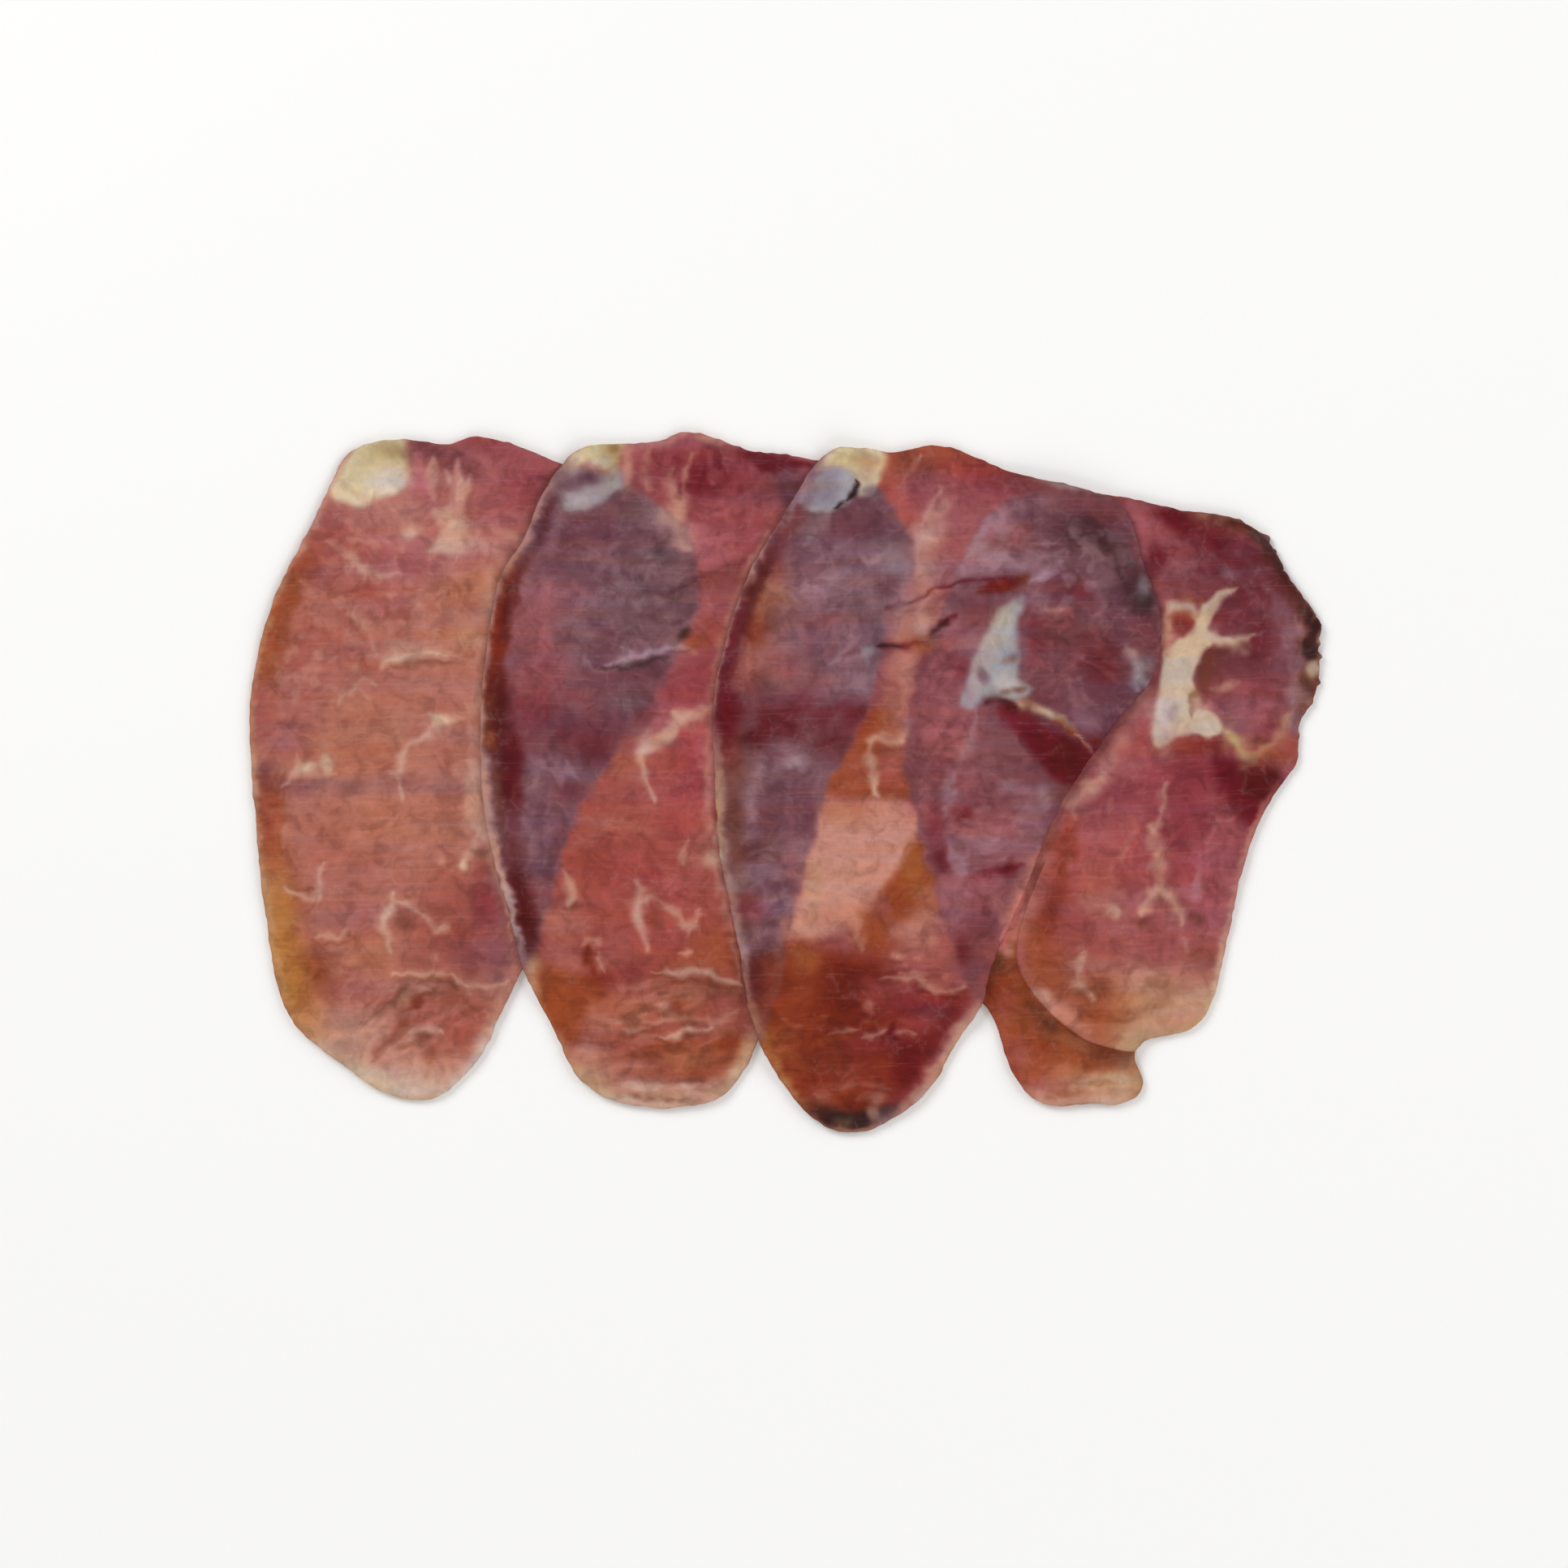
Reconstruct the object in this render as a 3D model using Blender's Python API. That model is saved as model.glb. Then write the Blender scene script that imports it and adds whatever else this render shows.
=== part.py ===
"""Four thin slices of lamb prosciutto laid in a fan, each lapping over the edge of its neighbour.

Metres, +Z up. The fan lies on z = 0 with its origin under the middle of its box, +X along the fan and
+Y towards the fat caps at the heads of the slices. Slice 1 lies flat at the left, slice 2 laps over
it, and slice 3 laps over slice 2 on its left and over slice 4 on its right. Slice 4 lies flat too, and
its foot is tucked: a fold of the slice lies over a lobe at its left.
"""

import math

import bmesh
import bpy
import numpy as np
from mathutils import Vector, geometry

MM = 0.001

# The meat
THICKNESS = 1.2 * MM
EDGE_THICKNESS = 0.85 * MM
EDGE_TAPER = 3.0 * MM
GAP = 0.3 * MM

# How a slice comes down from the one it laps over
LAP_REACH = 8.0 * MM
LAP_MARGIN = 1.5 * MM

# How finely the solids are faceted
RIM_STEP = 2.2 * MM
FACE_STEP = 3.5 * MM
RIM_CLEARANCE = 0.62 * FACE_STEP
CURVE_SPANS = 12
HANDLE_SHARE = 1.0 / 3.0
WELD = 0.0001 * MM
SHARP_ANGLE = 45.0

# Swells and domes die away at a slice's own edge
EDGE_CALM = 6.0 * MM

# The tuck in slice 4's foot
TUCKED_SLICE = "slice_4"
TUCK_HALF_STEP = 0.2 * MM
TUCK_STEP_SPACING = 3.0 * MM
TUCK_FADE = 18.0 * MM
TUCK_SLOPE = 6.0 * MM

LAPS_OVER = {
    "slice_1": (),
    "slice_2": ("slice_1",),
    "slice_3": ("slice_2", "slice_4"),
    "slice_4": (),
}

# Each outline's landmarks in millimetres, clockwise from the left shoulder. A smooth loop runs through them.
LANDMARKS = {
    "slice_1": {
        "head": ((-87.0, 64.6), (-79.8, 67.7), (-71.8, 67.4), (-66.1, 66.9), (-62.6, 68.2),
                 (-57.1, 67.7), (-44.6, 63.0)),
        "right edge": ((-28.6, 57.0), (-19.7, 48.6), (-17.3, 35.0), (-26.2, 17.1), (-41.1, -5.8),
                       (-48.2, -29.0)),
        "foot": ((-54.2, -41.3), (-63.0, -57.8), (-72.6, -63.0), (-90.2, -53.9), (-97.9, -46.6)),
        "left edge": ((-103.0, -25.0), (-105.1, -4.2), (-106.1, 13.4), (-104.2, 26.2), (-99.8, 39.8),
                      (-96.6, 45.4), (-90.2, 58.2)),
    },
    "slice_2": {
        "head": ((-44.2, 62.7), (-41.1, 65.8), (-32.6, 67.0), (-25.1, 67.4), (-21.0, 69.3),
                 (-6.2, 65.3), (5.4, 63.8)),
        "right edge": ((17.8, 57.9), (25.4, 43.2), (21.0, 34.2), (15.8, 15.0), (8.0, -1.3),
                       (3.2, -16.8), (-5.9, -52.2)),
        "foot": ((-12.2, -61.9), (-19.0, -64.0), (-34.2, -62.9), (-41.1, -58.2), (-46.6, -47.7)),
        "left edge": ((-51.8, -37.3), (-55.2, -24.6), (-59.5, -7.4), (-60.3, 11.8), (-58.6, 30.2),
                      (-55.5, 42.7), (-52.6, 46.7), (-48.6, 56.3)),
    },
    "slice_3": {
        "head": ((5.8, 63.0), (9.0, 65.8), (16.2, 65.9), (20.2, 65.3), (29.8, 66.6), (45.0, 61.1),
                 (60.2, 57.6)),
        "right edge": ((66.6, 54.2), (70.2, 43.8), (73.8, 32.6), (72.2, 20.6), (65.0, 11.8),
                       (53.0, -6.6), (46.9, -21.8), (40.5, -36.2)),
        "foot": ((38.7, -43.8), (34.2, -50.6), (26.6, -62.6), (19.4, -67.4), (12.2, -69.3),
                 (5.0, -66.2), (-2.7, -56.6)),
        "left edge": ((-7.0, -46.6), (-9.6, -31.5), (-13.3, -14.1), (-14.2, 0.6), (-14.6, 13.4),
                      (-12.2, 27.8), (-7.8, 40.6), (-4.6, 46.2), (2.6, 58.2)),
    },
    "slice_4": {
        "head": ((42.6, 54.7), (52.5, 57.1), (65.8, 56.6), (78.6, 53.6), (81.8, 53.3), (89.8, 51.7),
                 (94.9, 48.3), (99.7, 40.3), (104.2, 34.2), (106.2, 30.1)),
        "right edge": ((104.8, 27.2), (105.6, 23.8), (104.2, 16.3), (101.3, 11.0), (101.1, 5.1),
                       (94.9, -5.0), (90.9, -14.6), (86.9, -31.4), (84.2, -43.4)),
        "foot": ((81.0, -48.2), (69.3, -52.2), (68.6, -54.1), (70.7, -59.8), (67.7, -63.0),
                 (59.4, -63.5), (50.6, -63.5), (46.2, -59.8), (42.9, -53.3), (41.1, -46.6)),
        "left edge": ((38.2, -43.2), (34.9, -37.0), (28.8, -18.2), (25.1, -4.6), (23.2, 3.0),
                      (25.8, 18.2), (30.6, 32.6), (35.4, 45.1)),
    },
}

# The tuck: the edge of the fold that lies on top, and the edge of the lobe that runs back beneath it
FOLD_EDGE = ((55.2, -7.0), (51.4, -14.6), (47.2, -24.6), (45.3, -31.4), (45.4, -36.2), (48.2, -41.3),
             (51.7, -45.4), (59.4, -51.2), (66.6, -53.1))
LOBE_BACK = ((67.4, -45.8), (65.4, -37.0), (61.3, -26.6), (57.8, -16.2))
BEYOND_LOBE = ((75.0, -75.0), (20.0, -75.0), (20.0, -7.0))

# Swells where a slice doesn't lie flat: middle, run in degrees, half length, half width and height in mm
SWELLS = {
    "slice_1": ((-75.4, -47.7, 47, 15, 5, 0.5), (-91.0, 10.0, 85, 34, 8, 0.35),
                (-73.0, -26.0, 4, 20, 6, 0.3)),
    "slice_2": ((-19.0, -48.0, 8, 14, 5, 0.5), (-28.6, -5.8, 80, 25, 7, 0.35),
                (-14.2, 51.8, -60, 15, 7, 0.35)),
    "slice_3": ((24.2, 18.2, 95, 28, 6, 0.3), (14.6, -52.2, 5, 16, 6, 0.45),
                (58.0, 44.0, -35, 14, 6, 0.3)),
    "slice_4": ((77.0, -13.8, 85, 24, 7, 0.4), (81.8, 45.4, -25, 18, 6, 0.3)),
}

# Where fat caps and round muscles stand a little proud, in the same terms
DOMES = {
    "slice_1": ((-80.6, 61.4, 20, 9, 7, 0.35),),
    "slice_2": ((-37.4, 60.6, 20, 9, 7, 0.35),),
    "slice_3": ((13.3, 60.6, 5, 9, 7, 0.35), (58.6, 26.2, 100, 23, 13, 0.35)),
    "slice_4": ((93.0, 24.0, 95, 17, 10, 0.4), (74.5, 16.0, 100, 14, 6, 0.25)),
}

COLOURS = {
    "slice_1": (0.456, 0.174, 0.120),
    "slice_2": (0.332, 0.062, 0.055),
    "slice_3": (0.220, 0.046, 0.046),
    "slice_4": (0.318, 0.076, 0.067),
}
ROUGHNESS = 0.42


def eased(value):
    """0 below 0, 1 above 1, and a smooth rise between."""
    value = np.clip(value, 0.0, 1.0)
    return value * value * (3.0 - 2.0 * value)


def resampled(line, step):
    """The line's points moved to lie an even step apart, its first and last kept."""
    along = np.concatenate([[0.0], np.cumsum(np.linalg.norm(np.diff(line, axis=0), axis=1))])
    count = max(2, round(along[-1] / step) + 1)
    places = np.linspace(0.0, along[-1], count)
    return np.column_stack([np.interp(places, along, line[:, axis]) for axis in (0, 1)])


def curve_through(points, closed, step):
    """A smooth curve through the points: Bezier spans whose handles follow the bend at each point."""
    points = [Vector((x * MM, y * MM, 0.0)) for x, y in points]
    count = len(points)
    spans = count if closed else count - 1

    def direction(index):
        before = points[(index - 1) % count] if closed or index > 0 else points[index]
        after = points[(index + 1) % count] if closed or index < count - 1 else points[index]
        return ((points[index] - before).normalized() + (after - points[index]).normalized()).normalized()

    line = []
    for index in range(spans):
        start, end = points[index], points[(index + 1) % count]
        reach = (end - start).length * HANDLE_SHARE
        first_handle = start + direction(index) * reach
        last_handle = end - direction((index + 1) % count) * reach
        line.extend(geometry.interpolate_bezier(start, first_handle, last_handle, end, CURVE_SPANS)[:-1])
    line.append(points[0] if closed else points[-1])
    line = resampled(np.array([(p.x, p.y) for p in line]), step)
    return line[:-1] if closed else line


def spans_of(loop):
    return loop, np.roll(loop, -1, axis=0)


def inside(points, loop):
    """Whether each point is inside the closed loop, by the crossings to its right."""
    start, end = spans_of(loop)
    x, y = points[:, :1], points[:, 1:]
    straddles = (start[:, 1] > y) != (end[:, 1] > y)
    rise = np.where(end[:, 1] == start[:, 1], 1.0, end[:, 1] - start[:, 1])
    crossing = start[:, 0] + (y - start[:, 1]) * (end[:, 0] - start[:, 0]) / rise
    return (straddles & (x < crossing)).sum(axis=1) % 2 == 1


def depth_inside(points, loop):
    """How far each point is inside the loop; negative outside it."""
    start, end = spans_of(loop)
    run = end - start
    offset = points[:, None, :] - start
    share = np.clip((offset * run).sum(axis=2) / (run**2).sum(axis=1), 0.0, 1.0)
    distance = np.linalg.norm(offset - share[..., None] * run, axis=2).min(axis=1)
    return np.where(inside(points, loop), distance, -distance)


def outlines():
    """Each slice's outline, moved so that the middle of all four is the origin, and that middle."""
    loops = {
        name: curve_through([point for edge in edges.values() for point in edge], True, RIM_STEP)
        for name, edges in LANDMARKS.items()
    }
    everything = np.concatenate(list(loops.values()))
    middle = (everything.min(axis=0) + everything.max(axis=0)) / 2.0
    return {name: loop - middle for name, loop in loops.items()}, middle


OUTLINES, MIDDLE = outlines()


def mounds(points, name, shapes):
    """The height of a slice's long round-topped mounds, which die away at its edge."""
    height = np.zeros(len(points))
    for x, y, run, half_length, half_width, rise in shapes[name]:
        angle = math.radians(run)
        offset = points - (np.array([x, y]) * MM - MIDDLE)
        along = (offset @ [math.cos(angle), math.sin(angle)]) / (half_length * MM)
        across = (offset @ [-math.sin(angle), math.cos(angle)]) / (half_width * MM)
        height += rise * MM * np.exp(-(along**2) - across**2)
    return height * eased(depth_inside(points, OUTLINES[name]) / EDGE_CALM)


def tuck_lift(points):
    """What the tuck adds to slice 4's top: a sharp step at the fold's edge and a slope down past the lobe."""
    fold = curve_through(FOLD_EDGE, False, TUCK_STEP_SPACING) - MIDDLE
    back, beyond = (np.array(line) * MM - MIDDLE for line in (LOBE_BACK, BEYOND_LOBE))
    covered = np.concatenate([fold, back])
    lobe_side = np.concatenate([fold, beyond])
    slope = eased(1.0 + depth_inside(points, covered) / TUCK_SLOPE)
    fade = eased(np.linalg.norm(points - fold[0], axis=1) / TUCK_FADE)
    return np.where(inside(points, lobe_side), 0.0, THICKNESS * slope * fade)


def underside(name, points):
    """The height of a slice's underside: on the table, or a gap above what it laps over."""
    free = np.ones(len(points))
    weight = np.zeros(len(points))
    support = np.zeros(len(points))
    for below in LAPS_OVER[name]:
        lap = eased((depth_inside(points, OUTLINES[below]) + LAP_REACH) / (LAP_REACH - LAP_MARGIN))
        support += lap * (top(below, points) + GAP)
        weight += lap
        free *= 1.0 - lap
    raised = (1.0 - free) * support / np.maximum(weight, WELD)
    return raised + mounds(points, name, SWELLS)


def top(name, points):
    """The height of a slice's upper face."""
    taper = eased(depth_inside(points, OUTLINES[name]) / EDGE_TAPER)
    height = underside(name, points) + EDGE_THICKNESS + (THICKNESS - EDGE_THICKNESS) * taper
    height += mounds(points, name, DOMES)
    if name == TUCKED_SLICE:
        height += tuck_lift(points)
    return height


def honeycomb(loop):
    """Evenly spread points inside a loop, clear of its rim."""
    low, high = loop.min(axis=0), loop.max(axis=0)
    rows = []
    row_height = FACE_STEP * math.sqrt(3.0) / 2.0
    for row in range(math.ceil((high[1] - low[1]) / row_height)):
        start = low[0] + (row % 2) * FACE_STEP / 2.0
        xs = np.arange(start, high[0], FACE_STEP)
        rows.append(np.column_stack([xs, np.full(len(xs), low[1] + row * row_height)]))
    points = np.concatenate(rows)
    return points[depth_inside(points, loop) > RIM_CLEARANCE]


def fold_step_lines():
    """The foot and the brow of the step at the tuck's fold."""
    line = curve_through(FOLD_EDGE, False, TUCK_STEP_SPACING) - MIDDLE
    run = np.gradient(line, axis=0)
    normal = np.column_stack([-run[:, 1], run[:, 0]]) / np.linalg.norm(run, axis=1)[:, None]
    return line - normal * TUCK_HALF_STEP, line + normal * TUCK_HALF_STEP


def flat_sheet(name):
    """The slice's face from above, as points and triangles."""
    loop = OUTLINES[name]
    points = [loop, honeycomb(loop)]
    edges = [(index, (index + 1) % len(loop)) for index in range(len(loop))]
    if name == TUCKED_SLICE:
        steps = fold_step_lines()
        near_step = np.linalg.norm(points[1][:, None, :] - steps[0], axis=2).min(axis=1) < RIM_CLEARANCE
        points[1] = points[1][~near_step]
        for line in steps:
            first = sum(map(len, points))
            points.append(line)
            edges.extend((first + index, first + index + 1) for index in range(len(line) - 1))
    corners = [Vector(point) for point in np.concatenate(points)]
    inside_edges = 1
    found = geometry.delaunay_2d_cdt(corners, edges, [], inside_edges, WELD)
    return np.array([(p.x, p.y) for p in found[0]]), found[2]


def slice_material(name):
    material = bpy.data.materials.new(name + "_meat")
    material.use_nodes = True
    shader = material.node_tree.nodes["Principled BSDF"]
    shader.inputs["Base Color"].default_value = (*COLOURS[name], 1.0)
    shader.inputs["Roughness"].default_value = ROUGHNESS
    shader.inputs["Metallic"].default_value = 0.0
    return material


def add_slice(name):
    """One slice: its flat sheet pulled up into a solid, then both faces draped to their heights."""
    points, triangles = flat_sheet(name)
    shape = bmesh.new()
    corners = [shape.verts.new((x, y, 0.0)) for x, y in points]
    for triangle in triangles:
        shape.faces.new([corners[index] for index in triangle])
    pulled = bmesh.ops.extrude_face_region(shape, geom=shape.faces[:], use_keep_orig=True)
    upper = [item for item in pulled["geom"] if isinstance(item, bmesh.types.BMVert)]
    for corner, height in zip(corners, underside(name, points)):
        corner.co.z = height
    upper_points = np.array([corner.co[:2] for corner in upper])
    for corner, height in zip(upper, top(name, upper_points)):
        corner.co.z = height
    bmesh.ops.recalc_face_normals(shape, faces=shape.faces[:])
    mesh = bpy.data.meshes.new(name)
    shape.to_mesh(mesh)
    shape.free()
    mesh.shade_smooth()
    mesh.set_sharp_from_angle(angle=math.radians(SHARP_ANGLE))
    mesh.materials.append(slice_material(name))
    bpy.context.scene.collection.objects.link(bpy.data.objects.new(name, mesh))


for stale in list(bpy.data.objects):
    bpy.data.objects.remove(stale)
for slice_name in LAPS_OVER:
    add_slice(slice_name)
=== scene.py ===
"""Thin slices of lamb prosciutto in a lapping fan: relief, colour and a moist finish over the plain solids.

Every place below is in millimetres, seen from above: +X along the fan, +Y towards the fat caps. Each slice
is a refined copy of its solid. Its muscles, seams of fat, cracks and hems are laid on one after another, as a
painter would lay them, and what is under a slice shows through it as a darker, greyer patch.
Shade in creases, cracks, hollows and under raised rims, a few highlights and some sheen, and light that lifts
the shade beside raised edges are painted into the colour as well.
"""

import math

import bpy
import numpy as np
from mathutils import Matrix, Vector


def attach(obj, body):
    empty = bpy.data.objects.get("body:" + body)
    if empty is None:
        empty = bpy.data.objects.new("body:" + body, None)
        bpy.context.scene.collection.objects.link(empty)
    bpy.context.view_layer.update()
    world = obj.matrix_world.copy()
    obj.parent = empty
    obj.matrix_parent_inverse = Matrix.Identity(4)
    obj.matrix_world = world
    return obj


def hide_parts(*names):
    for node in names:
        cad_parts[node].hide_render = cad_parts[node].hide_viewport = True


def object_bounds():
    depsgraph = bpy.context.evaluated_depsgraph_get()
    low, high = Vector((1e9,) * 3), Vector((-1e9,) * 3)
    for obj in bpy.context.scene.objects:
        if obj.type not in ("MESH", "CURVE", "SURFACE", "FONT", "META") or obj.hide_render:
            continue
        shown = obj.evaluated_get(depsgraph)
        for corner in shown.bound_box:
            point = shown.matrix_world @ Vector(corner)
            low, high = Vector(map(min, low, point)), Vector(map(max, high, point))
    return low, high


bl_info = {
    "name": "Lamb Prosciutto Slices",
    "version": (1, 0, 0),
    "blender": (4, 5, 0),
    "location": "View3D > Sidebar > Prosciutto",
    "description": "Dresses a fan of thin slices of dry-cured lamb leg",
    "category": "Object",
}

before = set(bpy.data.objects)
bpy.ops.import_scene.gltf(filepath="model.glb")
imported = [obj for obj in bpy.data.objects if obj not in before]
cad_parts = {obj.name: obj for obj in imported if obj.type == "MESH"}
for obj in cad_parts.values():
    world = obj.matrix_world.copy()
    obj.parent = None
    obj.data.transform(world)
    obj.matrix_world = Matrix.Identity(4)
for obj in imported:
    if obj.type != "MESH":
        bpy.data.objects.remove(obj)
CAD_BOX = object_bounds()

MM = 0.001

# The slices, bottom of the pile first: the name of each one's finish, and the slices that show through from
# below
SLICES = {
    "slice_1": ("cured_meat_salmon", ()),
    "slice_4": ("cured_meat_rose", ()),
    "slice_2": ("cured_meat_red", ("slice_1",)),
    "slice_3": ("cured_meat_brown", ("slice_2", "slice_4")),
}

# What each slice is before anything is laid on it, and which way its fibres run, in degrees
BASE = {"slice_1": "salmon", "slice_2": "rose", "slice_3": "rose", "slice_4": "rose"}
FIBRE_RUN = {"slice_1": 2.0, "slice_2": -2.0, "slice_3": 0.0, "slice_4": 3.0}

# What stands proud of the lean, or sinks into it, in millimetres, and how fatty it is from 0 to 1
PROUD = {
    "cream": 0.12, "ivory": 0.14, "straw": 0.12, "olive": 0.05, "pearl": 0.1, "shell": 0.08, "sand": 0.03,
    "soot": -0.06, "umber": -0.05, "oxblood": -0.03,
}
FATTY = {"cream": 1.0, "ivory": 1.0, "straw": 0.9, "olive": 0.7, "pearl": 0.9, "shell": 0.6, "sand": 0.4}

# How many places a smooth line has from one corner to the next, and how many cells a cloud has each way
STEPS = 4
CLOUD_CELLS = 256

# A stroke is exp(-FADE * reach**power) strong: half gone where the reach is 1, flatter with a higher power
FADE = 0.7
BLOT_POWER, SEAM_POWER, HEM_POWER, STREAK_POWER = 1.4, 2.0, 2.6, 1.6
# A seam at its very end has this share of its width, and is fully wide after a fifth of its length
THIN_END, TAPER = 0.45, 5.0


# ---------------------------------------------------------------- shapes on the flat


def eased(value):
    """0 below 0, 1 above 1, and a smooth rise between."""
    value = np.clip(value, 0.0, 1.0)
    return value * value * (3.0 - 2.0 * value)


def cloud(points, size, seed):
    """Smooth noise from -1 to 1 whose lumps are about that size."""
    table = np.random.default_rng(seed).uniform(-1.0, 1.0, (CLOUD_CELLS, CLOUD_CELLS))
    cell = points / size
    low = np.floor(cell).astype(int)
    share = eased(cell - low)
    x, y = low[:, 0] % CLOUD_CELLS, low[:, 1] % CLOUD_CELLS
    right, up = (x + 1) % CLOUD_CELLS, (y + 1) % CLOUD_CELLS
    near = table[x, y] * (1 - share[:, 0]) + table[right, y] * share[:, 0]
    far = table[x, up] * (1 - share[:, 0]) + table[right, up] * share[:, 0]
    return near * (1 - share[:, 1]) + far * share[:, 1]


def curved(corners, closed=False):
    """A smooth line through the corners."""
    corners = np.array(corners, float)
    if len(corners) < 3:
        return corners
    if closed:
        corners = np.concatenate([corners[-1:], corners, corners[:2]])
    else:
        corners = np.concatenate([2 * corners[:1] - corners[1:2], corners, 2 * corners[-1:] - corners[-2:-1]])
    line = []
    shares = np.arange(STEPS)[:, None] / STEPS
    for a, b, c, d in zip(corners, corners[1:], corners[2:], corners[3:]):
        bend = 2 * a - 5 * b + 4 * c - d + shares * (3 * (b - c) + d - a)
        line.append(b + 0.5 * shares * (c - a + shares * bend))
    if not closed:
        line.append(corners[-2:-1])
    return np.concatenate(line)


def distance_to(points, line, closed=False):
    """How far each point is from the line, and how far along it the nearest place is, from 0 to 1."""
    start = line
    end = np.roll(line, -1, axis=0)
    if not closed:
        start, end = start[:-1], end[:-1]
    best = np.full(len(points), np.inf)
    along = np.zeros(len(points))
    for index, (a, b) in enumerate(zip(start, end)):
        run = b - a
        share = np.clip((points - a) @ run / max(run @ run, 1e-9), 0.0, 1.0)
        distance = np.linalg.norm(points - a - share[:, None] * run, axis=1)
        closer = distance < best
        best[closer] = distance[closer]
        along[closer] = (index + share[closer]) / len(start)
    return best, along


def inside(points, loop):
    """Whether each point is inside the closed loop, by the crossings to its right."""
    odd = np.zeros(len(points), bool)
    x, y = points[:, 0], points[:, 1]
    for (ax, ay), (bx, by) in zip(loop, np.roll(loop, -1, axis=0)):
        if ay != by:
            odd ^= ((ay > y) != (by > y)) & (x < ax + (y - ay) * (bx - ax) / (by - ay))
    return odd


def depth_inside(points, loop):
    """How far each point is inside the loop; negative outside it."""
    distance = distance_to(points, loop, closed=True)[0]
    return np.where(inside(points, loop), distance, -distance)


def turned_by(run):
    """What turns places so that their x is measured along that direction, in degrees."""
    angle = math.radians(run)
    return np.array([[math.cos(angle), -math.sin(angle)], [math.sin(angle), math.cos(angle)]])


# ---------------------------------------------------------------- strokes
# Each takes one of the panel's tints, its strength in percent, and then its size and place.


def blot(tint, strength, x, y, half_length, half_width, run=0.0):
    """A soft patch, half gone at its half length and half width."""
    turn = turned_by(run)

    def mask(sheet):
        offset = (sheet.wander - (x, y)) @ turn / (half_length, half_width)
        return strength / 100 * np.exp(-FADE * (offset**2).sum(axis=1) ** BLOT_POWER)

    return tint, mask


def dabs(tint, strength, half, *places):
    """Equal round patches, soft like a blot."""

    def mask(sheet):
        square = np.min([((sheet.wander - place) ** 2).sum(axis=1) for place in places], axis=0) / half**2
        return strength / 100 * np.exp(-FADE * square**BLOT_POWER)

    return tint, mask


def seam(tint, strength, width, *corners):
    """A soft line that thins towards its ends and is broken here and there."""
    line = curved(corners)

    def mask(sheet):
        near = sheet.near(line, 3.0 * width)
        broken = sheet.broken[near]
        distance, along = distance_to(sheet.frayed[near], line)
        half = 0.5 * width * (THIN_END + (1.0 - THIN_END) * eased(TAPER * np.minimum(along, 1.0 - along)))
        half *= 1.0 + 0.55 * broken
        found = np.zeros(len(sheet.points))
        found[near] = np.exp(-FADE * (distance / half) ** SEAM_POWER) * (0.95 + 0.25 * broken)
        return strength / 100 * found

    return tint, mask


def field(tint, strength, softness, *corners):
    """A patch with an outline of its own and an edge that soft."""
    loop = curved(corners, closed=True)

    def mask(sheet):
        near = sheet.near(loop, softness)
        found = np.zeros(len(sheet.points))
        found[near] = eased(0.5 + depth_inside(sheet.wander[near], loop) / softness)
        return strength / 100 * found

    return tint, mask


def hem(tint, strength, depth, width, x, y, half_x, half_y):
    """A band along the slice's own edge, that far in, where it passes a place."""

    def mask(sheet):
        across = (sheet.ragged - depth) / (0.5 * width)
        here = (((sheet.points - (x, y)) / (half_x, half_y)) ** 4).sum(axis=1)
        return strength / 100 * np.exp(-FADE * np.abs(across) ** HEM_POWER - FADE * here)

    return tint, mask


def streaks(tint, strength, width, x, y, half_x, half_y, run, stretch):
    """Soft, uneven streaks over an ellipse: that wide, so many times longer, along a direction in degrees."""
    turn = turned_by(run)
    seed = abs(int(97 * x + 31 * y + 7 * run)) + len(tint)

    def mask(sheet):
        bent = sheet.points + 0.6 * width * stretch * np.column_stack(
            [cloud(sheet.points, 2.5 * width * stretch, seed + turns) for turns in (1, 2)])
        place = bent @ turn / (1.3 * width * stretch, 1.9 * width)
        veil = 0.75 * cloud(place, 1.0, seed + 3) + 0.3 * cloud(1.9 * place, 1.0, seed + 4)
        here = (((sheet.wander - (x, y)) / (half_x, half_y)) ** 2).sum(axis=1)
        return strength / 100 * np.exp(-FADE * here**STREAK_POWER) * eased(2.0 * veil)

    return tint, mask


def painted(*strokes):
    """Strokes in order. A bare row is a blot."""
    return [stroke if callable(stroke[1]) else blot(*stroke) for stroke in strokes]


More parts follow.
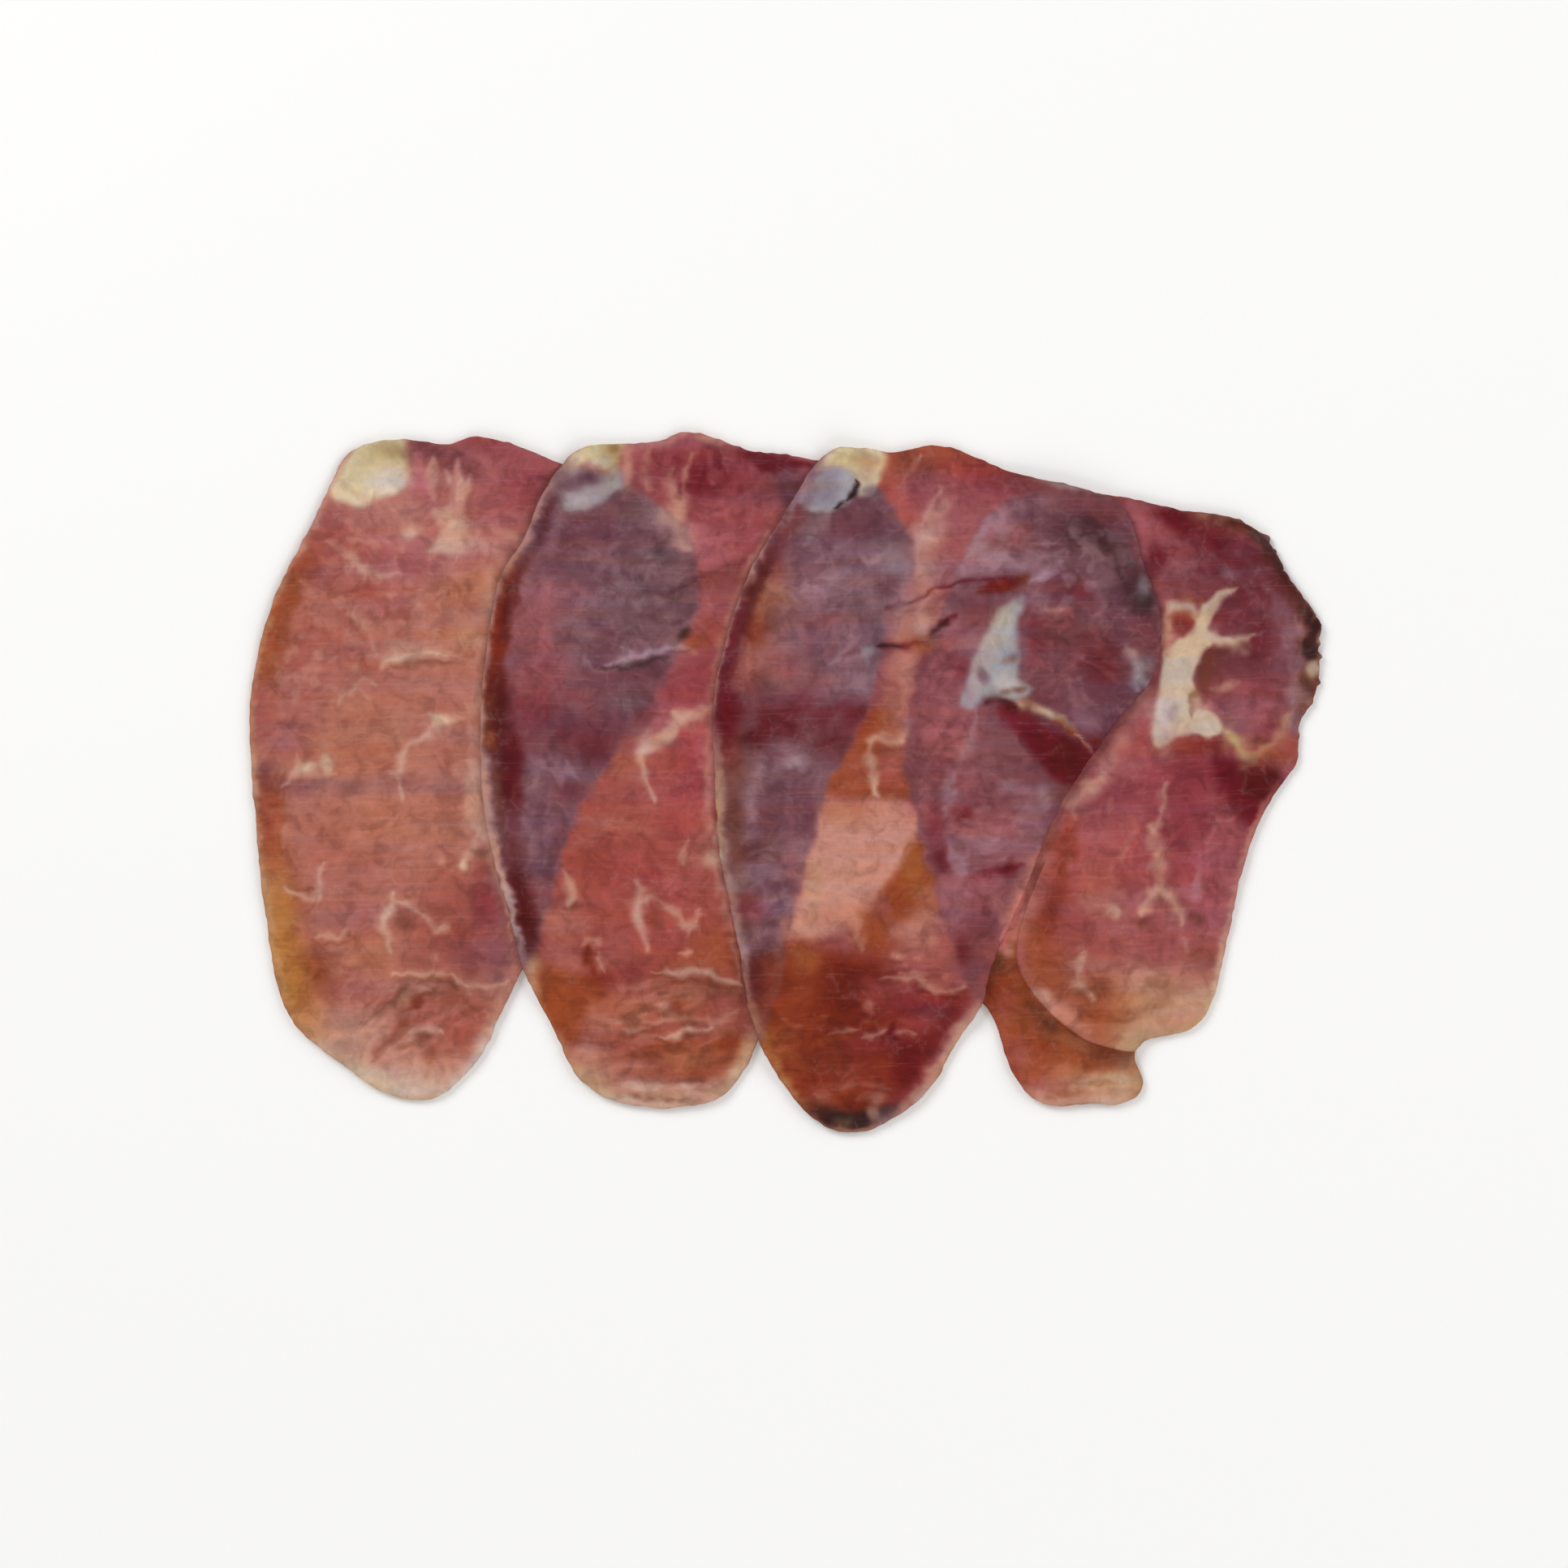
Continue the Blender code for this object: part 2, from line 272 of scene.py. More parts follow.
# The left slice, lowest in the pile
SLICE_1 = painted(
    ("rose", 40, -72, 57, 26, 12), ("pink", 25, -80, 45, 18, 8), ("shell", 30, -75.5, 53, 4, 6),
    ("peach", 30, -70, 63, 3, 5), ("rose", 60, -55, 60, 10, 9), ("pink", 25, -54, 60, 8, 6),
    ("crimson", 35, -50, 60, 6, 7), ("crimson", 50, -60, 67, 7, 2.4, -12),
    ("maroon", 80, -71.5, 65.5, 3.2, 2.6), ("maroon", 80, -66.2, 63.5, 2.6, 3.6, 70),
    ("maroon", 60, -62.6, 62.2, 1.8, 2.6, 60), seam("pink", 70, 2.2, (-72.6, 64.5), (-72.2, 60), (-71, 55.5)),
    seam("shell", 50, 2, (-69.5, 64), (-69.8, 60), (-69.6, 56)), ("pink", 50, -72, 57, 2.5, 2.5),
    ("rose", 60, -93, 50, 6, 5, 60), ("brick", 40, -88, 49, 4, 4), ("salmon", 80, -80, 52.5, 6, 2.6),
    ("maroon", 35, -93, 43, 5, 2.6, 20), ("rose", 50, -90, 44, 7, 3), ("brick", 50, -84, 38, 8, 2.6),
    ("pink", 45, -76, 45, 5, 4), ("pink", 40, -78, 34.5, 5, 2.4), ("rose", 35, -66, 43.5, 8, 2),
    ("brick", 40, -88, 27, 10, 1.6, -38), ("brick", 35, -84, 30, 8, 1.2, -40), ("brick", 35, -92, 22, 8, 3),
    ("salmon", 50, -95, 36, 5, 3), ("salmon", 60, -71, 30, 9, 5), ("apricot", 35, -65, 28, 6, 4),
    ("rose", 20, -91, 29, 8, 6), ("sand", 40, -62, 29, 3.5, 2), ("apricot", 55, -62, 38.5, 7, 3.4, 15),
    ("apricot", 40, -83, 8, 10, 7), ("salmon", 50, -68, 19, 9, 4), ("rose", 35, -97, 15, 6, 5),
    ("rose", 75, -99.5, 8, 3.6, 2.6), ("lilac", 30, -99.5, 8.5, 2.2, 1.6),
    ("maroon", 35, -97, 11.3, 4.5, 0.9, -8), ("maroon", 40, -98, -0.6, 6, 1.8),
    ("mauve", 30, -82, -0.4, 16, 1), ("mauve", 20, -67, -1.4, 7, 1.5), ("rose", 35, -73, 44, 7, 3),
    ("brick", 40, -95, 26, 3.4, 8), ("pink", 40, -57.4, 52, 2.6, 5, -20),
    ("crimson", 35, -51.4, 57, 3.4, 5, -30), ("apricot", 35, -79, -8, 13, 4), ("salmon", 50, -70, -6, 9, 3),
    ("brick", 20, -90, -9, 7, 5), ("brick", 25, -84, -17, 12, 4), ("salmon", 50, -75, -15, 9, 4),
    ("brick", 60, -64, -24, 7, 7), ("maroon", 30, -61, -26, 5, 7), ("crimson", 60, -58.5, -24, 3, 6),
    ("brick", 60, -67, -32, 8, 5), ("maroon", 50, -62, -34, 4.5, 4), ("rose", 60, -58, -33, 3.6, 4),
    ("maroon", 30, -56.5, -33, 3, 5), ("mauve", 30, -56, -35, 2.6, 4), ("apricot", 55, -82.5, -33.5, 5, 3),
    ("rose", 50, -86, -41, 6, 3), ("rose", 40, -83, -26, 8, 3), ("umber", 50, -94, -37.5, 5, 3.6, -10),
    ("rust", 65, -95.5, -38, 6, 6), ("rust", 50, -97, -22, 3, 4), ("brick", 60, -66, -46, 8, 5),
    ("umber", 40, -65.5, -42, 4, 2.6), ("brick", 50, -62, -51, 5, 4, 50), ("peach", 60, -88, -48, 7, 3.6),
    ("mauve", 20, -88, -50, 5, 3), ("shell", 55, -81, -50, 5, 4), ("peach", 50, -76, -53, 6, 3),
    ("shell", 75, -72, -58.5, 9, 4), ("ivory", 45, -76, -61, 8, 2.6), ("cream", 50, -84, -56.5, 7, 2.4, -32),
    ("amber", 45, -95, -49.6, 4, 2.4, -40), ("brick", 40, -67, -53, 4, 2.4, 30),
    # The left hem, from the shoulder down
    hem("rust", 85, 2.6, 4.6, -100, 30, 9, 17), hem("umber", 25, 3.4, 2.6, -99, 30, 8, 12),
    hem("rust", 50, 1.2, 2.6, -102, 28, 6, 12), hem("rose", 70, 2.4, 4.4, -105, 14, 7, 5),
    hem("maroon", 50, 2.6, 3.2, -103, 0, 7, 4), hem("shell", 50, 0.4, 1.8, -106, 1, 4, 5),
    hem("rust", 90, 3.2, 5.6, -103, -9, 9, 8), hem("brick", 40, 2.6, 3.4, -103, -8, 8, 6),
    hem("amber", 90, 3, 6.4, -100, -34, 11, 16), hem("straw", 30, 1, 2, -101, -32, 10, 16),
    hem("sand", 60, 0.3, 1.6, -103, 10, 14, 42), hem("cream", 50, 0.9, 3.2, -84, -58, 14, 8),
    hem("shell", 70, 0.8, 3.2, -60, -52, 9, 11), hem("sand", 50, 0.4, 1.4, -72, -63, 16, 4),
    hem("shell", 50, 0.3, 1.4, -94, 52, 7, 9),
    # The fat cap
    field("cream", 100, 2.2, (-90, 57), (-87.5, 62.5), (-84.5, 66.5), (-80, 68.5), (-75.3, 68), (-74.6, 64.5),
          (-75.2, 60), (-76.8, 57), (-80, 56), (-82.5, 54.8), (-85.5, 54.8)),
    ("straw", 60, -80.6, 65.2, 4, 2.4, 10), ("olive", 70, -77, 65.2, 2.2, 1.8),
    ("olive", 35, -79, 66.5, 2.6, 1.2), ("straw", 35, -85.5, 60.5, 3, 3),
    ("ivory", 85, -78.2, 59.6, 3.4, 2.4, 25), ("umber", 35, -74.8, 64.6, 1, 2.4),
    # Marbling under the top edge
    field("shell", 80, 1.4, (-67.4, 61.8), (-65.8, 60.6), (-64.4, 63.4), (-63.4, 59.6), (-62.2, 60.4),
          (-62.6, 56.8), (-63.6, 53.4), (-61.4, 50.4), (-63, 48.8), (-60.4, 46.4), (-64, 44.8), (-68, 45.2),
          (-71, 45.2), (-69.2, 47.4), (-68.8, 50.4), (-70, 53.4), (-67, 54.4), (-66.2, 57.6)),
    ("cream", 30, -65.6, 52.2, 2, 2), ("cream", 30, -66.6, 47.2, 3.2, 1.8, 10),
    ("peach", 100, -59.4, 46.8, 2.4, 1.5), ("ivory", 40, -59.6, 46.8, 1.5, 1),
    ("umber", 35, -62.6, 55, 0.9, 2.2), ("shell", 85, -74.4, 49.4, 1.9, 1.5, 35),
    ("ivory", 30, -74.2, 49.2, 1.2, 0.9, 35), ("shell", 75, -85.4, 44.6, 1, 1.5),
    seam("shell", 45, 1.2, (-90, 48), (-88, 46), (-85.5, 43.5)),
    seam("shell", 80, 1.5, (-84.6, 43.4), (-82.5, 41.4), (-79.5, 40.6), (-76.8, 41.4)),
    seam("shell", 40, 1.4, (-86, 34), (-83.5, 31.5), (-81.6, 28), (-81, 25.5)),
    # Painted shade in a shallow crease (umber)
    seam("umber", 50, 1.1, (-69, 36.4), (-65, 38.2), (-61, 39.6)), ("shell", 35, -72.6, 35.6, 1.6, 1.2),
    # Veins, with painted shadow (umber) under raised seams and in hollows, and a painted highlight on the fat
    # at y 25
    seam("shell", 40, 4.2, (-79, 24.6), (-72, 25.8), (-64, 25.6)),
    seam("umber", 65, 1, (-77.6, 23), (-74, 23.4), (-69, 23.6), (-64.6, 23.8)),
    seam("shell", 80, 2, (-79.6, 22.8), (-77, 24.6), (-73, 25), (-69, 25.3), (-63.8, 24.9)),
    seam("cream", 40, 1, (-78.4, 23.8), (-75, 24.9), (-71, 25.2), (-67, 25.2)),
    seam("shell", 60, 1.3, (-88.6, 15.6), (-87, 17.8), (-85.6, 18.4), (-83.4, 20), (-80.8, 18.8)),
    seam("shell", 50, 0.9, (-85.4, 18.4), (-84, 18.2), (-82, 16.6)), ("peach", 50, -92.6, 22.6, 1.3, 1),
    ("shell", 40, -85, 22.6, 1.3, 1),
    seam("shell", 80, 1.4, (-59.6, 15.2), (-62, 14.8), (-64, 13.4), (-66.4, 12.2)),
    field("shell", 95, 0.9, (-70, 13.6), (-68.4, 13.4), (-66.6, 13), (-65.4, 12.2), (-67.4, 11.2),
          (-69.4, 10.8)),
    seam("shell", 80, 1.2, (-69.6, 11.6), (-70.4, 9.8), (-71.8, 8.2)), ("cream", 45, -68, 12.5, 1.8, 0.9),
    seam("shell", 85, 1.6, (-71.6, 8.2), (-73.6, 7.6), (-75.2, 6), (-75.9, 3), (-75.8, -3)),
    field("shell", 50, 1.2, (-99.6, -0.8), (-98, 1.6), (-96.6, 4.4), (-95, 4), (-92.8, 3.8), (-91.2, 5.8),
          (-89.6, 5.2), (-89.2, 2.6), (-91.8, 0.8), (-94.6, 1.2), (-97, 0.4)),
    ("cream", 60, -94.6, 3.2, 1.9, 1.1, 20), ("cream", 60, -90.4, 3.4, 0.9, 2, 8),
    seam("shell", 60, 1.1, (-99.6, -1.6), (-98, 0.8), (-96.6, 2.6), (-96.2, 5.4)),
    seam("shell", 50, 1, (-94, 4.4), (-92.4, 1), (-88.6, 1.6)),
    seam("umber", 45, 1, (-98, -20.6), (-95, -21.2), (-92.6, -21)),
    # Painted light: a pale line just left of slice 2's edge, lifting the shadow that the edge casts
    seam("shell", 65, 1.5, (-51.6, 50), (-54.8, 45), (-57.6, 40), (-59.8, 30), (-60.8, 20), (-61.1, 10),
         (-60.9, 0), (-60.2, -8), (-58, -16), (-55.6, -24), (-53.6, -31)),
    seam("shell", 80, 1.3, (-90.6, -15.6), (-92, -18.4), (-92, -20.6), (-91.8, -22.8)),
    seam("shell", 70, 1.3, (-99, -21), (-96.4, -21.8), (-94, -23), (-91.8, -22.8)),
    seam("umber", 40, 1, (-91.5, -32), (-88, -31.6), (-85, -31)),
    seam("shell", 80, 1.5, (-92.6, -30.8), (-90.4, -30), (-88.6, -30.6), (-86.8, -28.8)),
    ("umber", 60, -75.8, -27.4, 1.6, 2, 60),
    seam("shell", 90, 1.6, (-77.4, -21.4), (-78.2, -24.4), (-79.4, -27.4), (-78.8, -30.4), (-78.2, -33)),
    ("cream", 25, -78.8, -26.6, 1.3, 1.9),
    seam("shell", 75, 1.2, (-77.8, -24.2), (-75.4, -24), (-73.4, -25.4), (-71.4, -26.4), (-69.2, -28.8),
         (-67, -28.4)),
    ("shell", 75, -67.4, -28.8, 1.2, 0.9, 30), ("shell", 50, -68.2, -15.6, 0.9, 0.9),
    ("peach", 50, -69.6, -34, 0.8, 0.9), seam("shell", 35, 1.6, (-99, -9), (-98.8, -13)),
    # Creases at the foot: painted shade in the sunken lines (umber, russet), and pale seams on the ridges,
    # partly painted highlight
    seam("umber", 60, 1.7, (-78, -43.4), (-75.4, -40.8), (-71.6, -38.6), (-67.6, -38.8), (-65, -41)),
    seam("umber", 50, 1.6, (-74.2, -44.6), (-71.4, -41.6), (-68.8, -39.8)),
    seam("shell", 75, 1.1, (-77.6, -37.4), (-70, -37.8), (-66, -37.9), (-63, -40.1), (-59, -40.9),
         (-54, -39.4)),
    seam("shell", 55, 1, (-64, -39.6), (-60, -40.8), (-55, -39.9)),
    seam("russet", 50, 2.2, (-81.6, -54.6), (-79, -51.4), (-76, -48), (-73.6, -45), (-71.4, -42)),
    seam("umber", 60, 1.8, (-83.8, -47.8), (-80.6, -46), (-78.4, -44.6), (-76.4, -42.4)),
    seam("shell", 60, 1.5, (-76.4, -44), (-73.6, -41.8), (-71, -40.4)),
    seam("shell", 75, 1.2, (-75.4, -51), (-72.6, -48.8), (-70, -48.4), (-67.6, -49.2)),
    ("umber", 80, -71.3, -49.8, 1.3, 0.7), seam("rust", 50, 1.6, (-70, -52), (-70.6, -56), (-71, -58)),
    streaks("peach", 44, 0.9, -82, 42, 18, 14, -35, 2.2), streaks("brick", 39, 1, -84, 34, 18, 12, -35, 2.2),
    streaks("shell", 33, 0.8, -94, 22, 8, 8, 20, 2.2), streaks("brick", 24, 0.8, -80, 8, 22, 10, 0, 5),
    streaks("peach", 22, 0.8, -80, -8, 22, 10, 0, 5), streaks("brick", 28, 0.9, -78, -26, 18, 10, -30, 2.2),
    streaks("peach", 33, 0.8, -80, -44, 16, 10, 30, 3.5), streaks("umber", 39, 0.8, -72, -47, 12, 8, 30, 3.5),
    streaks("rose", 39, 0.9, -62, 58, 12, 8, 60, 2.2),
    seam("shell", 55, 2.4, (-60.6, 6), (-61.4, 0), (-61.2, -6), (-60, -11)),
    seam("mauve", 35, 1.6, (-58.6, -17), (-57, -23), (-55.4, -30)),
    # The fat that slice 2 lies against
    seam("shell", 95, 3.4, (-60.4, 6), (-61.6, 1), (-61.6, -5), (-60.8, -10.6)),
    seam("shell", 75, 1.6, (-60.6, -10), (-61.8, -13), (-63.6, -16)), ("cream", 70, -63.7, -16.2, 0.9, 1.1),
    ("umber", 40, -60.4, -14, 0.9, 1.6, 70), ("olive", 25, -78.5, 62.5, 4, 3),
    seam("ivory", 60, 3.2, (-68, -61), (-63, -57.6), (-59.6, -53.4), (-56.6, -48)),
    ("shell", 50, -88, -50, 7, 4, -30), ("ivory", 25, -74, -58.6, 8, 3.4),
    ("peach", 40, -66, -54.6, 3, 3, 40), ("maroon", 40, -49, 57.5, 2.5, 3),
)

# The second slice, where it lies on the table
SLICE_2 = painted(
    ("brick", 65, -27, -24, 30, 20), ("rust", 40, -25, -48, 24, 14), ("crimson", 70, -17, 59, 12, 8),
    ("garnet", 70, -16, 60, 5, 4.5), ("garnet", 35, -25, 64.5, 2.5, 2.5), ("maroon", 50, -29, 58, 2.6, 3),
    ("pink", 35, -12, 68, 6, 2), ("pink", 50, -22, 66.5, 4, 1.6), ("rose", 60, -12, 51, 10, 6),
    ("maroon", 35, -6, 57, 4.5, 3.5), ("plum", 45, 0, 59.5, 3.5, 2.5),
    field("garnet", 95, 1.8, (-9, 65), (-4, 64.8), (1, 63.8), (5, 62.6), (0, 61.3), (-4, 61)),
    seam("shell", 60, 2.4, (-22.4, 62), (-22.8, 58.5), (-21, 55), (-22, 51.5)),
    seam("shell", 60, 1.6, (-18.2, 65), (-19.4, 61), (-20.2, 57)),
    seam("shell", 35, 1.6, (-27, 65.5), (-28, 61), (-27, 57.5)), ("pink", 30, -15, 47, 6, 4),
    ("crimson", 30, -8, 48, 5, 5), ("shell", 40, -22, 54, 2.4, 4), ("brick", 40, -10, 43, 6, 3),
    ("shell", 80, -21.4, 49, 3.2, 2.6, -50), ("peach", 40, -20.6, 46.5, 2, 2),
    ("brick", 50, -11, 41.5, 5, 1.8, 12), ("rust", 45, -13, 39.8, 5, 1.6, 12), ("rose", 60, -12, 35, 4, 4),
    ("crimson", 40, -11.5, 30, 3, 4), ("crimson", 45, -14, 25, 3, 5), ("coral", 50, -19, 18.5, 5, 3.4, 45),
    ("crimson", 40, -23, 18, 3, 3), ("maroon", 35, -30, 12, 3, 4, 50), ("brick", 70, -12.6, 14.5, 2, 4.5, 70),
    ("crimson", 40, -16, 14, 3, 3), ("coral", 90, -17, 8.4, 4.6, 3.6), ("coral", 60, -20, 1, 6, 5),
    ("crimson", 45, -18, 0.5, 4, 4), ("pink", 55, -14.4, -1, 1.2, 8), ("pink", 60, -26, 14, 2.6, 3.4, 60),
    ("shell", 55, -28.6, 9.6, 2, 1.5), ("brick", 50, -24, 4, 3, 4), ("apricot", 35, -32, 3, 4.5, 3),
    ("brick", 50, -35, 1, 4, 3), ("rust", 30, -31, 4, 3, 2), ("brick", 75, -34, -9, 8, 6),
    ("salmon", 35, -32, -8, 6, 1.4), ("coral", 45, -20, -8, 6, 4), ("brick", 40, -24, -13, 5, 3),
    ("coral", 45, -33, -18, 9, 4), ("brick", 60, -40, -16, 4, 6), ("salmon", 40, -16, -14, 3, 4),
    ("coral", 50, -24, -21, 6, 4), ("brick", 50, -15, -23, 3, 5), ("brick", 30, -33, -26, 6, 5),
    ("salmon", 30, -44, -29, 4, 4), ("coral", 40, -25, -30, 6, 4), ("rust", 70, -14, -33, 4.4, 4),
    ("rust", 40, -22, -37, 5, 3), ("salmon", 55, -47, -27, 2.5, 6, 80), ("salmon", 40, -42, -35.5, 6, 1.6),
    ("brick", 50, -30, -37, 7, 3, 25), ("crimson", 35, -30, -37.5, 5, 2, 20),
    field("rust", 85, 3, (-50, -36), (-44, -37), (-38, -39), (-36, -41), (-39, -45), (-42, -50), (-44, -55),
          (-48, -50)),
    ("russet", 80, -38, -40, 4, 2.4, 20), ("russet", 60, -44, -49, 4, 3), ("rust", 50, -46, -46, 3, 5),
    ("rust", 50, -46.6, -45.4, 2.4, 5), ("apricot", 45, -33, -46, 6, 4), ("salmon", 35, -28, -44, 7, 3.5),
    ("brick", 40, -27, -40, 6, 2), ("umber", 60, -17, -40.5, 5, 2.4), ("rust", 50, -21, -43, 5, 3),
    ("rose", 30, -12.5, -44.5, 4, 2.6), ("rust", 30, -10, -38, 3, 4), ("umber", 30, -12, -41, 3, 1.6),
    ("salmon", 50, -36, -47.5, 5, 1.8), ("brick", 50, -28, -50.5, 9, 1.8), ("rust", 50, -23, -53.5, 8, 3),
    ("rust", 80, -11, -51.5, 3, 3.6, 60), ("russet", 35, -10.5, -51.5, 2, 2.4, 60),
    ("rust", 60, -16, -56, 6, 3), ("apricot", 50, -20, -54.2, 4, 1.7), ("shell", 55, -39, -54.5, 5, 2.6, -20),
    ("peach", 50, -33, -56, 6, 2), ("brick", 40, -31, -54.6, 4, 0.8), ("sand", 80, -38, -59.2, 5, 2.6, -32),
    ("rust", 45, -24, -57.6, 8, 0.9, -4), ("shell", 85, -26, -60.2, 11, 1.5, -2),
    ("sand", 60, -24, -62, 10, 1.4),
    # Painted shade in the folds across the foot (umber lines)
    seam("umber", 40, 0.9, (-34, -58.6), (-26, -59), (-18, -58.8), (-13.5, -60)),
    seam("umber", 45, 0.8, (-36, -62), (-28, -62.6), (-20, -62.8)), ("umber", 50, -18.5, -63.5, 3.4, 1),
    ("shell", 60, -14.5, -60.8, 2.4, 1.8, 40), hem("sand", 50, 0.3, 1.2, -46, -48, 9, 12),
    hem("straw", 25, 0.8, 2.2, -42, -59, 6, 4), hem("sand", 75, 1.2, 3.6, -9, -57, 6, 8),
    hem("cream", 40, 0.6, 2.4, -9, -58, 5, 6), hem("shell", 40, 0.4, 1.4, -24, -64, 20, 4),
    hem("shell", 50, 0.5, 1.8, -21, 69, 9, 4), hem("maroon", 50, 1.4, 2.4, -9, 66, 9, 4),
    ("sand", 85, -50, -36, 1.6, 2.2), ("sand", 60, -49, -40.4, 0.9, 2.6, 15),
    streaks("pink", 44, 1, -20, 59, 10, 8, 75, 3.5), streaks("garnet", 39, 1, -14, 58, 10, 8, 70, 2.2),
    streaks("pink", 39, 0.9, -12, 48, 8, 8, 20, 3.5), streaks("pink", 33, 0.9, -15, 8, 6, 16, 80, 3.5),
    streaks("brick", 44, 0.9, -15, 22, 5, 14, 70, 3.5), streaks("salmon", 28, 0.9, -28, -12, 14, 12, 5, 5),
    streaks("brick", 39, 0.9, -30, -26, 14, 10, -10, 2.2), streaks("peach", 39, 0.8, -24, -46, 14, 8, 10, 5),
    streaks("umber", 50, 0.8, -24, -48, 14, 10, 8, 3.5), streaks("ivory", 33, 0.7, -24, -60.6, 11, 2, 0, 5),
    # Painted light: a pale line just left of slice 3's edge, lifting the shadow that the edge casts
    seam("peach", 60, 1.5, (-3.4, 50), (-5.8, 45), (-8.4, 40), (-11.8, 30), (-14.4, 20), (-15.4, 10),
         (-15.2, 0), (-14.4, -10), (-12.8, -20), (-10.6, -30), (-8.8, -40)),
    # Veins, with painted shadow (umber) under the raised seams
    seam("shell", 80, 2, (-14.4, 15.6), (-17.6, 13.6), (-20.5, 12.2), (-23, 9.6), (-26, 7.8), (-28.6, 6)),
    field("shell", 75, 1.2, (-22.6, 14.4), (-19.6, 14.8), (-17.2, 13.8), (-18.6, 12.2), (-20.8, 11.2),
          (-22.4, 8.6), (-24.2, 8.4), (-24, 10.4), (-22.2, 12.2)),
    ("ivory", 35, -20.4, 13, 2.2, 1, 15), ("ivory", 50, -28.4, 7, 1.7, 1.1, 40),
    seam("shell", 85, 1.4, (-29, 6.2), (-28.2, 3.4), (-27.2, -0.5), (-25.8, -4)),
    seam("shell", 75, 1.8, (-43.4, -18), (-42.4, -21), (-42.6, -24.4)),
    seam("umber", 45, 1, (-44.5, -25.2), (-42, -25), (-40, -24.6)),
    seam("shell", 70, 2, (-29.6, -20), (-28.8, -23), (-29.2, -27), (-28.4, -30), (-27.2, -32.6)),
    ("ivory", 35, -29, -26, 1, 2.2),
    seam("shell", 60, 1.2, (-28.8, -24), (-26.6, -23), (-24.4, -23.8), (-22.2, -25.2), (-19.8, -28.4),
         (-17.6, -27.6)),
    seam("peach", 60, 1.2, (-16.8, -25), (-17.8, -27.4), (-18.8, -29.8)),
    ("peach", 50, -18.6, -28.2, 1.5, 1.2, 40), ("umber", 35, -25.4, -27.6, 1.4, 2.4),
    seam("shell", 55, 1.2, (-40.4, -32.2), (-38.4, -31), (-36.6, -31.8)),
    seam("russet", 85, 1.9, (-38.9, -32.6), (-38.5, -34.6), (-37.6, -37.2)),
    seam("shell", 60, 1.3, (-36.8, -33.6), (-36.6, -35.4), (-35.4, -37.6)),
    seam("peach", 70, 0.9, (-21, -34), (-18.4, -33.8)),
    seam("shell", 70, 1.1, (-26, -37.4), (-19, -37.4), (-15, -37.4), (-12.4, -39), (-8.6, -40)),
    seam("shell", 45, 1.4, (-26, -47.6), (-20, -46), (-14, -46.8), (-9.6, -45.4)),
    ("peach", 90, -24, -44.2, 1.1, 0.9), seam("shell", 40, 1, (-32, -49), (-27, -48.4)),
    seam("shell", 85, 1.1, (-24.4, -50.6), (-21.4, -49.8), (-19.8, -48.6), (-17, -48.8), (-14.8, -48.2)),
    ("umber", 80, -18.8, -49.8, 1.3, 0.8), seam("shell", 55, 1.6, (-19.5, -11), (-20.4, -15.6)),
    ("shell", 90, -14.4, -14.8, 1.7, 1.6), seam("shell", 60, 1.4, (-14.2, -12.4), (-13.2, -8.6)),
    dabs("rose", 35, 3, (-34, -32), (-18, 12)), dabs("crimson", 35, 2.6, (-18, 22), (-17, 18)),
    ("rust", 60, -46.4, -46.6, 3, 4), ("shell", 50, -13.4, 67.8, 3, 1.2), ("umber", 30, -8.4, -42, 2, 3),
    field("rust", 50, 2.4, (-46, -37.8), (-42, -37.8), (-36.6, -40.2), (-38.4, -44), (-40.6, -49),
          (-42.4, -53), (-44, -50), (-45.4, -44)),
    ("plum", 70, 0.6, 58, 2.4, 3.6), hem("cream", 50, 0.5, 2.4, -28, -63, 10, 3),
)

